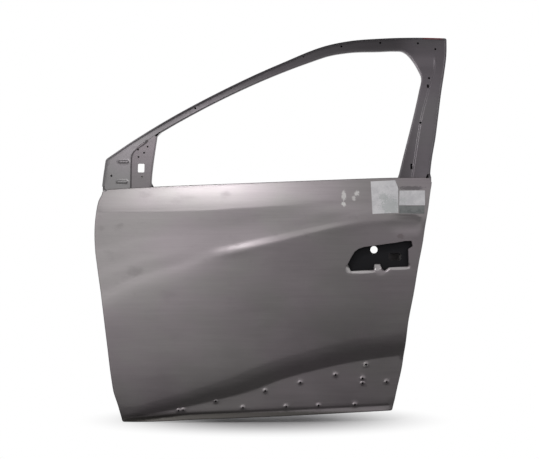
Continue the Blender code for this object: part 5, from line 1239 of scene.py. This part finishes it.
# Mirror reinforcement: a 1.2 mm steel plate that closes the rear of the sail and is spot welded
# behind the frame's front part. The door mirror bolts to three nuts welded on its inner side.
brace_steel = steel("brace_steel", (0.235, 0.225, 0.230), metallic=0.80, rough=0.48)[0]
sail_steel, w, shader, _ = steel("sail_steel", (0.235, 0.215, 0.226), metallic=0.80, rough=0.46,
                                 cloud=0.6)
paint_seam_shade(w, shader)
zinc = steel("zinc_plate", (0.46, 0.43, 0.34), metallic=0.90, rough=0.36, grain=0.05, cloud=0.6,
             stain=0.2)[0]


def dress(mat, *names):
    """Give CAD nodes their finish."""
    for name in names:
        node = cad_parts[name]
        for slot in node.material_slots:
            slot.material = mat


dress(sail_steel, "mirror_reinforcement")
dress(zinc, "mirror_weld_nut_1", "mirror_weld_nut_2", "mirror_weld_nut_3")

# Hinge, check and latch reinforcements: 1.5 mm angle plates welded inside the end walls, with
# the tapped plates for the hinge bolts caught loosely behind them.
dress(brace_steel, "hinge_reinforcement_upper", "hinge_reinforcement_lower", "check_strap_reinforcement",
      "latch_reinforcement")
dress(zinc, "hinge_nut_plate_upper", "hinge_nut_plate_lower")

# Belt reinforcements: two 1.2 mm channels along the window slot, one bonded behind the skin and
# one welded to the panel.
dress(brace_steel, "belt_outer_reinforcement", "belt_inner_reinforcement")

# Glass channels: roll-formed steel guides below each end of the window, each held by a strap
# from its back to the panel.
dress(brace_steel, "glass_channel_front", "glass_channel_rear", "channel_bracket_front",
      "channel_bracket_rear")

# Impact beam: a hard drawn steel tube across the door behind the skin, in a welded saddle at
# each end, with three pads of black mastic between it and the skin to stop the skin drumming.
beam_steel = steel("beam_steel", (0.15, 0.15, 0.16), metallic=0.75, rough=0.45, cloud=0.6,
                   stain=0.25)[0]
dress(beam_steel, "impact_beam")
dress(brace_steel, "beam_bracket_front", "beam_bracket_rear")


def mottled(name, scale, detail, dark, light, roughness, bump):
    """A material whose tone, sheen and small lumps follow one noise."""
    mat, w, shader = new_material(name)
    lumps = w.noise(w.place(), scale, detail, 0.6)
    w.link(w.blend(w.ramp(lumps, 0.3, 0.7), (*dark, 1.0), (*light, 1.0)), shader.inputs["Base Color"])
    w.link(w.ramp(lumps, 0.3, 0.7, *roughness), shader.inputs["Roughness"])
    w.link(w.bump(lumps, *bump), shader.inputs["Normal"])
    return mat


mastic = mottled("mastic", scale=(90.0, 90.0, 90.0), detail=4.0, dark=(0.030, 0.030, 0.032),
                 light=(0.065, 0.063, 0.060), roughness=(0.70, 0.90), bump=(0.4, 0.001))
dress(mastic, "mastic_pad_1", "mastic_pad_2", "mastic_pad_3")

# Handle reinforcement: a 1.2 mm cup bonded behind the opening for the outside handle. It is
# deep and unlit, with one hole for the handle's bolt and a slot for its lever.
# Painted shade: the cup's colour is almost black, for the shade deep inside the opening
shaded_cup_steel = steel("shaded_cup_steel", (0.016, 0.016, 0.019), metallic=0.50, rough=0.50)[0]
dress(shaded_cup_steel, "handle_reinforcement")

# Outer skin: a 0.8 mm pressing hemmed round the panel's flange down the front, along the
# bottom and up the rear, with its belt edge turned in. The sill recess is pierced for the
# clips of a trim strip, and the handle opening is flanged inboard.
HANDLE_OPENING = [
    (0.7967, -0.1235), (0.786, -0.1015), (0.7986, -0.0767), (0.808, -0.0617), (0.8212, -0.0519),
    (0.8384, -0.0463), (0.8802, -0.0406), (0.9373, -0.0331), (0.9677, -0.0275), (0.9887, -0.0268),
    (0.9925, -0.0444), (0.9787, -0.0538), (0.9799, -0.1034), (0.9781, -0.1090), (0.9181, -0.1119),
    (0.9134, -0.1150), (0.9040, -0.1225), (0.8946, -0.1150), (0.8899, -0.1018), (0.8726, -0.1018),
    (0.8689, -0.1197),
]
HANDLE_FLANGE = 0.006
CLIP_HOLES = [
    (0.2535, -0.5649), (0.2684, -0.5634), (0.3711, -0.5355), (0.4576, -0.5557), (0.5280, -0.5025),
    (0.5939, -0.5523), (0.6392, -0.4768), (0.6972, -0.5494), (0.7507, -0.4524), (0.8119, -0.5472),
    (0.8366, -0.4640), (0.8366, -0.4790), (0.8474, -0.4200), (0.9130, -0.4749),
]
CLIP_HOLE = 0.0066
SKIN_REAR_CORNER = (1.0475, 0.1735)


def subdivided(loop, step):
    """A closed loop with more points, about a step apart."""
    out = []
    for a, b in zip(loop, loop[1:] + loop[:1]):
        count = max(1, round((b - a).length / step))
        out += [a.lerp(b, k / count) for k in range(count)]
    return out


DIMPLE_REACH = 0.0095
DIMPLE_RISE = 0.0020


def clip_dimples(x, z):
    """The sheet stands out a little round each pierced clip hole."""
    total = 0.0
    for hole_x, hole_z in CLIP_HOLES:
        away = math.hypot(x - hole_x, z - hole_z)
        if away < DIMPLE_REACH:
            total -= DIMPLE_RISE * ease((DIMPLE_REACH - away) / (DIMPLE_REACH - CLIP_HOLE / 2))
    return total


# The lower edge of the handle opening rolls inboard, and the tab on it leans in
ROLL_EDGE = [
    (0.7905, -0.1115), (0.7967, -0.1235), (0.8689, -0.1197), (0.8890, -0.1190), (0.9040, -0.1225),
    (0.9181, -0.1119), (0.9790, -0.1085),
]
ROLL_BOX_X = (0.770, 1.000)
ROLL_BOX_Z = (-0.140, -0.090)
ROLL_REACH = 0.0080
ROLL_DEPTH = 0.0024
TAB_X = (0.8705, 0.8925)
TAB_FOOT_Z = -0.1165
TAB_LEAN = 0.45


def handle_roll(x, z):
    """How far the skin turns inboard beside the lower edge of the handle opening."""
    if not (ROLL_BOX_X[0] < x < ROLL_BOX_X[1] and ROLL_BOX_Z[0] < z < ROLL_BOX_Z[1]):
        return 0.0
    away = 1.0
    for a, b in zip(ROLL_EDGE, ROLL_EDGE[1:]):
        start, run = Vector(a), Vector(b) - Vector(a)
        share = min(max((Vector((x, z)) - start).dot(run) / run.dot(run), 0.0), 1.0)
        away = min(away, (Vector((x, z)) - start - share * run).length)
    roll = ROLL_DEPTH * ease((ROLL_REACH - away) / ROLL_REACH)
    if TAB_X[0] < x < TAB_X[1] and z > TAB_FOOT_Z:
        roll = max(roll, ROLL_DEPTH) + TAB_LEAN * (z - TAB_FOOT_Z)
    return roll


def skin_face(x, z):
    """Middle of the skin's sheet with the marks of its holes."""
    return skin_y(x, z) + clip_dimples(x, z) + handle_roll(x, z)


bm = bmesh.new()
radius = HEM_SPREAD / 2


def hem_row(inset, lift):
    """A row of the hem: a distance in from the edge, and inboard of the skin."""
    row = []
    for sample in skin_edge:
        at = sample.inset(inset)
        row.append(Vector((at.x, hem_y(sample, inset) + lift, at.y)))
    return row


hem = [hem_row(HEM_FOOT, 0.0), hem_row(0.5 * HEM_FOOT, 0.0)]
for degrees in range(0, 181, 20):
    angle = math.radians(degrees)
    hem.append(hem_row(HEM_EDGE + radius - radius * math.sin(angle), radius * (1 - math.cos(angle))))
hem += [hem_row(0.6 * HEM_RETURN, HEM_SPREAD), hem_row(HEM_RETURN, HEM_SPREAD)]
strip(bm, hem)

corner = Vector(SKIN_REAR_CORNER)
start = flat(hem[0][0])
BELT_STATIONS = 100
BELT_CLEAR = 0.008
BELT_DROP = 0.003
top = []
for k in range(BELT_STATIONS):
    x = mix(corner.x, start.x + BELT_CLEAR, k / (BELT_STATIONS - 1))
    top.append(Vector((x, belt_z(x) - BELT_DROP)))
skin_outline = [flat(p) for p in hem[0]] + [flat(hem[1][-1]), flat(hem[2][-1])] + top
BELT_BEND = [(0.0, 0.0), (0.0010, 0.0002), (0.0019, 0.0008), (0.0026, 0.0018), (0.0029, 0.0032),
             (0.0030, BELT_TURN)]
belt_rows = []
for rise, lift in BELT_BEND:
    belt_rows.append([Vector((p.x, skin_y(p.x, p.y) + lift, p.y + rise)) for p in top[1:]])
strip(bm, belt_rows)


def between(low, high, count):
    """Lines that share out the space between two lines of the drawing, without the ends."""
    return [lambda x, t=k / count: mix(low(x), high(x), t) for k in range(1, count)]


# Rows of points follow the lines of the drawing, each with its offsets, and share out the space
# up to the next line in even steps
SKIN_LINES = [(bottom_z, (0.0,)),
              (lip_z, (-0.005, -0.002, 0.0005, 0.003, 0.006)),
              (recess_z, (-0.004, -0.002, 0.0, 0.002, 0.004)),
              (band_z, (-0.004, 0.0, 0.004, 0.008, 0.014, 0.020)),
              (ridge_z, (-0.014, -0.010, -0.006, -0.003, 0.0, 0.003, 0.006, 0.010, 0.014)),
              (shoulder_z, (-0.008, -0.005, -0.002, 0.0, 0.003, 0.006, 0.009, 0.014)),
              (belt_z, (0.0,))]
STEPS_BETWEEN = (4, 16, 10, 30, 22, 9)
SKIN_START = -0.016
SKIN_END = DOOR_LENGTH + 0.010
SKIN_GRID = 0.009
HANDLE_STEP = 0.005
HOLE_COLLARS = (0.0045, 0.0060, 0.0077, DIMPLE_REACH)
HANDLE_COLLARS = (0.0016, 0.0033, 0.0050, 0.0068, 0.0090)
lines = []
for (low, low_offsets), (high, high_offsets), count in zip(SKIN_LINES, SKIN_LINES[1:], STEPS_BETWEEN):
    above = beside(high, high_offsets)
    lines += between(beside(low, low_offsets)[-1], above[0], count) + above
rows = grid_rows(lines[:-1], SKIN_START, SKIN_END, SKIN_GRID)

opening = subdivided([Vector(p) for p in HANDLE_OPENING], HANDLE_STEP)
holes = [circle(p, CLIP_HOLE / 2, 16) for p in CLIP_HOLES]
collars = [circle(p, reach, 16) for p in CLIP_HOLES for reach in HOLE_COLLARS]
around = [grown(opening, distance) for distance in HANDLE_COLLARS]
fill(bm, skin_outline, holes + [opening], rows, skin_face, margin=0.0030, folds=collars + around)
HANDLE_BEND = [(0.0, 0.0), (0.0005, 0.0006), (0.0008, 0.0018), (0.0010, HANDLE_FLANGE)]
flange_rows = []
for inset, lift in HANDLE_BEND:
    loop = grown(opening, -inset)
    flange_rows.append([Vector((p.x, skin_face(q.x, q.y) + lift, p.y)) for p, q in zip(loop, opening)])
strip(bm, flange_rows, closed=True)

skin_steel, w, shader, _ = steel("skin_steel", (0.385, 0.358, 0.366), metallic=0.88, rough=0.35)
CHALK = (0.80, 0.79, 0.77)
INKY = (0.06, 0.055, 0.065)
BROWN = (0.16, 0.12, 0.11)
OLIVE = (0.085, 0.082, 0.068)
PAINTED_HIGHLIGHT_TONE = (0.72, 0.70, 0.69)
SMUDGES = [((0.7760, 0.1135), (0.0075, 0.0150), CHALK, 0.75),
           ((0.7745, 0.0880), (0.0065, 0.0065), CHALK, 0.95),
           ((0.8170, 0.1225), (0.0075, 0.0080), CHALK, 0.80),
           ((0.8075, 0.1070), (0.0055, 0.0090), CHALK, 0.60),
           ((0.8460, -0.4235), (0.0070, 0.0035), CHALK, 0.80),
           ((0.9880, 0.1390), (0.0400, 0.0065), INKY, 0.50),
           ((0.9530, -0.0130), (0.0110, 0.0075), BROWN, 0.35)]
for centre, size, colour, strength in SMUDGES:
    smear(w, shader, centre, size, colour, ragged=2.2, strength=strength, rough=0.2)

# The highlight on the ridge fades towards the rear, so the sheet is duller in a strip along it
DULL_SLOPE = 0.24
DULL_Z = -0.158
DULL_START = (0.42, 0.64)
DULL_EDGE = (0.030, 0.010)
DULL_ROUGH = 0.22
axes = w.axes(w.place())
ridge_at = w.math('MULTIPLY_ADD', axes["X"], DULL_SLOPE, DULL_Z)
away = w.math('ABSOLUTE', w.math('SUBTRACT', axes["Z"], ridge_at))
dull = w.math('MULTIPLY', w.ramp(axes["X"], *DULL_START), w.ramp(away, *DULL_EDGE))
below = shader.inputs["Roughness"].links[0].from_socket
w.link(w.math('MULTIPLY_ADD', dull, DULL_ROUGH, below), shader.inputs["Roughness"])

# A dark olive colour along the lower lip, and pale painted highlight round the lower handle opening, where
# the rolled edge faces up into the light
smear(w, shader, (0.60, -0.600), (0.62, 0.034), OLIVE, ragged=0.25, strength=0.80)
# Painted highlight: pale strips along the lower edge and corners of the handle opening
HANDLE_HIGHLIGHTS = [((0.8300, -0.1255), (0.0420, 0.0050), 0.8), ((0.9480, -0.1145), (0.0360, 0.0045), 0.7),
          ((0.8810, -0.1100), (0.0110, 0.0125), 0.7), ((0.7890, -0.1170), (0.0085, 0.0130), 0.8)]
for centre, size, strength in HANDLE_HIGHLIGHTS:
    smear(w, shader, centre, size, PAINTED_HIGHLIGHT_TONE, ragged=0.5, strength=strength)
skin = pressed_sheet("skin_pressing", bm, SKIN_SHEET, skin_steel)
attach(skin, "root")
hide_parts("outer_skin")

# Labels: two paper tags, left blank here, and a strip of clear film, stuck by hand on the skin
# above the handle opening.
PAPER_DARK = (0.68, 0.675, 0.69, 1.0)
PAPER_LIGHT = (0.86, 0.85, 0.86, 1.0)
paper, w, shader = new_material("paper")
fibre = w.noise(w.place(), (220.0, 220.0, 220.0), 5.0, 0.7)
damp = w.noise(w.place(), (28.0, 28.0, 28.0), 3.0, 0.6)
shade = w.math('ADD', w.math('MULTIPLY', fibre, 0.3), w.math('MULTIPLY', damp, 0.7))
w.link(w.blend(w.ramp(shade, 0.35, 0.65), PAPER_DARK, PAPER_LIGHT), shader.inputs["Base Color"])
w.link(w.ramp(fibre, 0.2, 0.8, 0.72, 0.92), shader.inputs["Roughness"])
w.link(w.bump(damp, 0.35, 0.0012), shader.inputs["Normal"])
GREY_GREEN = (0.50, 0.535, 0.52)
PATCHES = [((0.9260, 0.0780), (0.0340, 0.0240), 0.40), ((0.9220, 0.0840), (0.0240, 0.0300), 0.35),
           ((0.9010, 0.1100), (0.0150, 0.0130), 0.55), ((0.9640, 0.1010), (0.0110, 0.0090), 0.35)]
for centre, size, strength in PATCHES:
    smear(w, shader, centre, size, GREY_GREEN, ragged=3.2, strength=strength)
film = mottled("film", scale=(40.0, 40.0, 60.0), detail=3.0, dark=(0.185, 0.195, 0.195),
               light=(0.255, 0.267, 0.262), roughness=(0.22, 0.40), bump=(0.2, 0.0008))
dress(paper, "label_large", "label_small")
dress(film, "label_film")

# Floor: a plain pale studio floor just under the door's lowest edge. Away from the door it
# runs into the white sweep behind.
FLOOR_GAP = 0.003
FLOOR_SIZE = 24.0
FLOOR_PAINT = (0.86, 0.86, 0.86, 1.0)
FLOOR_SHADE_IN_REFLECTIONS = (0.10, 0.10, 0.10, 1.0)
FLOOR_CENTRE = (0.29, 0.03, 0.0)
FLOOR_STRETCH = (0.55, 1.0, 0.0)
FLOOR_FADE = (0.06, 0.34)
FLOOR_BEHIND = (0.2, 0.8)
bpy.ops.object.select_all(action='DESELECT')
bpy.ops.mesh.primitive_plane_add(size=FLOOR_SIZE, location=(0.0, 0.0, cad_box[0].z - FLOOR_GAP))
floor = bpy.context.object
floor.name = "floor"
floor_paint, w, shader = new_material("floor_paint")
shader.inputs["Roughness"].default_value = 0.9
glow = floor_paint.node_tree.nodes.new('ShaderNodeEmission')
glow.inputs["Color"].default_value = (1.0, 1.0, 1.0, 1.0)
mirrored, ray = w.mirrored()
behind = w.ramp(w.axes(w.place())["Y"], *FLOOR_BEHIND)
# Painted shade: reflections see the floor in front of the door as dark, which darkens the steel's downward
# faces
w.link(w.blend(w.math('MULTIPLY', mirrored, w.math('SUBTRACT', 1.0, behind)), FLOOR_PAINT, FLOOR_SHADE_IN_REFLECTIONS),
       shader.inputs["Base Color"])
from_door = w.vector('DISTANCE', w.vector('MULTIPLY', w.place(), FLOOR_STRETCH), FLOOR_CENTRE)
seen = w.math('MAXIMUM', ray["Is Camera Ray"], w.math('MULTIPLY', mirrored, behind))
share = w.math('MULTIPLY', seen, w.ramp(from_door, *FLOOR_FADE))
w.link(w.shader_mix(share, shader.outputs[0], glow.outputs[0]),
       floor_paint.node_tree.nodes["Material Output"].inputs["Surface"])
floor.data.materials.append(floor_paint)

# Studio: a white sweep behind the door and a dim grey room in front of it, which the bare
# steel mirrors, with a small soft lamp high at the front left and a wide weak one level with
# the door.
WALL_TILT = 0.17
WALL_FOOT_TONE = (0.030, 0.030, 0.031, 1.0)
WALL_MIDDLE_TONE = (0.40, 0.395, 0.40, 1.0)
WALL_TOP_TONE = (0.44, 0.43, 0.44, 1.0)
CEILING_TONE = (0.13, 0.13, 0.135, 1.0)
WALL_FOOT_SPAN = (-0.32, 0.02)
WALL_TOP_SPAN = (0.12, 0.55)
CEILING_SPAN = (0.62, 0.90)
WALL_SIDES = (-0.12, 0.10, 0.97, 1.25)
SWEEP_BEHIND = (0.05, 0.45)
SWEEP_TOP = (0.65, 0.35)
world = bpy.data.worlds.new("studio")
bpy.context.scene.world = world
world.use_nodes = True
tree = world.node_tree
w = Wiring(tree)
tree.nodes.clear()
axes = w.axes(tree.nodes.new('ShaderNodeTexCoord').outputs["Generated"])
room = tree.nodes.new('ShaderNodeBackground')
height = w.math('SUBTRACT', axes["Z"], w.math('MULTIPLY', axes["X"], WALL_TILT))
low_wall = w.blend(w.ramp(height, *WALL_FOOT_SPAN), WALL_FOOT_TONE, WALL_MIDDLE_TONE)
low_wall = w.vector('SCALE', low_wall, scale=w.ramp(axes["X"], *WALL_SIDES))
wall = w.blend(w.ramp(height, *WALL_TOP_SPAN), low_wall, WALL_TOP_TONE)
w.link(w.blend(w.ramp(axes["Z"], *CEILING_SPAN), wall, CEILING_TONE), room.inputs["Color"])
white = tree.nodes.new('ShaderNodeBackground')
white.inputs["Color"].default_value = (1.0, 1.0, 1.0, 1.0)
mirrored, ray = w.mirrored()
sweep = w.math('MULTIPLY', w.ramp(axes["Y"], *SWEEP_BEHIND), w.ramp(axes["Z"], *SWEEP_TOP))
share = w.math('MAXIMUM', ray["Is Camera Ray"], w.math('MULTIPLY', mirrored, sweep))
out = tree.nodes.new('ShaderNodeOutputWorld')
w.link(w.shader_mix(share, room.outputs[0], white.outputs[0]), out.inputs["Surface"])


def soft_box(name, at, aim, size, power):
    """A rectangular lamp that faces its aim."""
    lamp = bpy.data.lights.new(name, 'AREA')
    lamp.shape = 'RECTANGLE'
    lamp.size, lamp.size_y = size
    lamp.energy = power
    box = bpy.data.objects.new(name, lamp)
    bpy.context.scene.collection.objects.link(box)
    box.location = at
    box.rotation_euler = (Vector(aim) - Vector(at)).to_track_quat('-Z', 'Y').to_euler()


soft_box("key", at=(-0.08, -2.2, 1.84), aim=(0.28, 0.0, 0.10), size=(0.44, 0.42), power=15.0)
soft_box("fill", at=(-0.9, -3.3, 0.15), aim=(0.2, 0.0, 0.0), size=(1.8, 1.5), power=8.0)

# Camera: level with the middle of the door and square to it, as in the photograph.
CAMERA_PLACE = (0.5416, -3.6, 0.008)
PIXEL = 0.0032
IMAGE_WIDTH = 539
camera = bpy.data.cameras.new("camera")
camera.sensor_width = 36.0
camera.lens = -CAMERA_PLACE[1] * camera.sensor_width / (PIXEL * IMAGE_WIDTH)
camera_object = bpy.data.objects.new("camera", camera)
bpy.context.scene.collection.objects.link(camera_object)
camera_object.location = CAMERA_PLACE
camera_object.rotation_euler = (math.radians(90.0), 0.0, 0.0)
bpy.context.scene.camera = camera_object
bpy.context.scene.view_settings.view_transform = 'Standard'
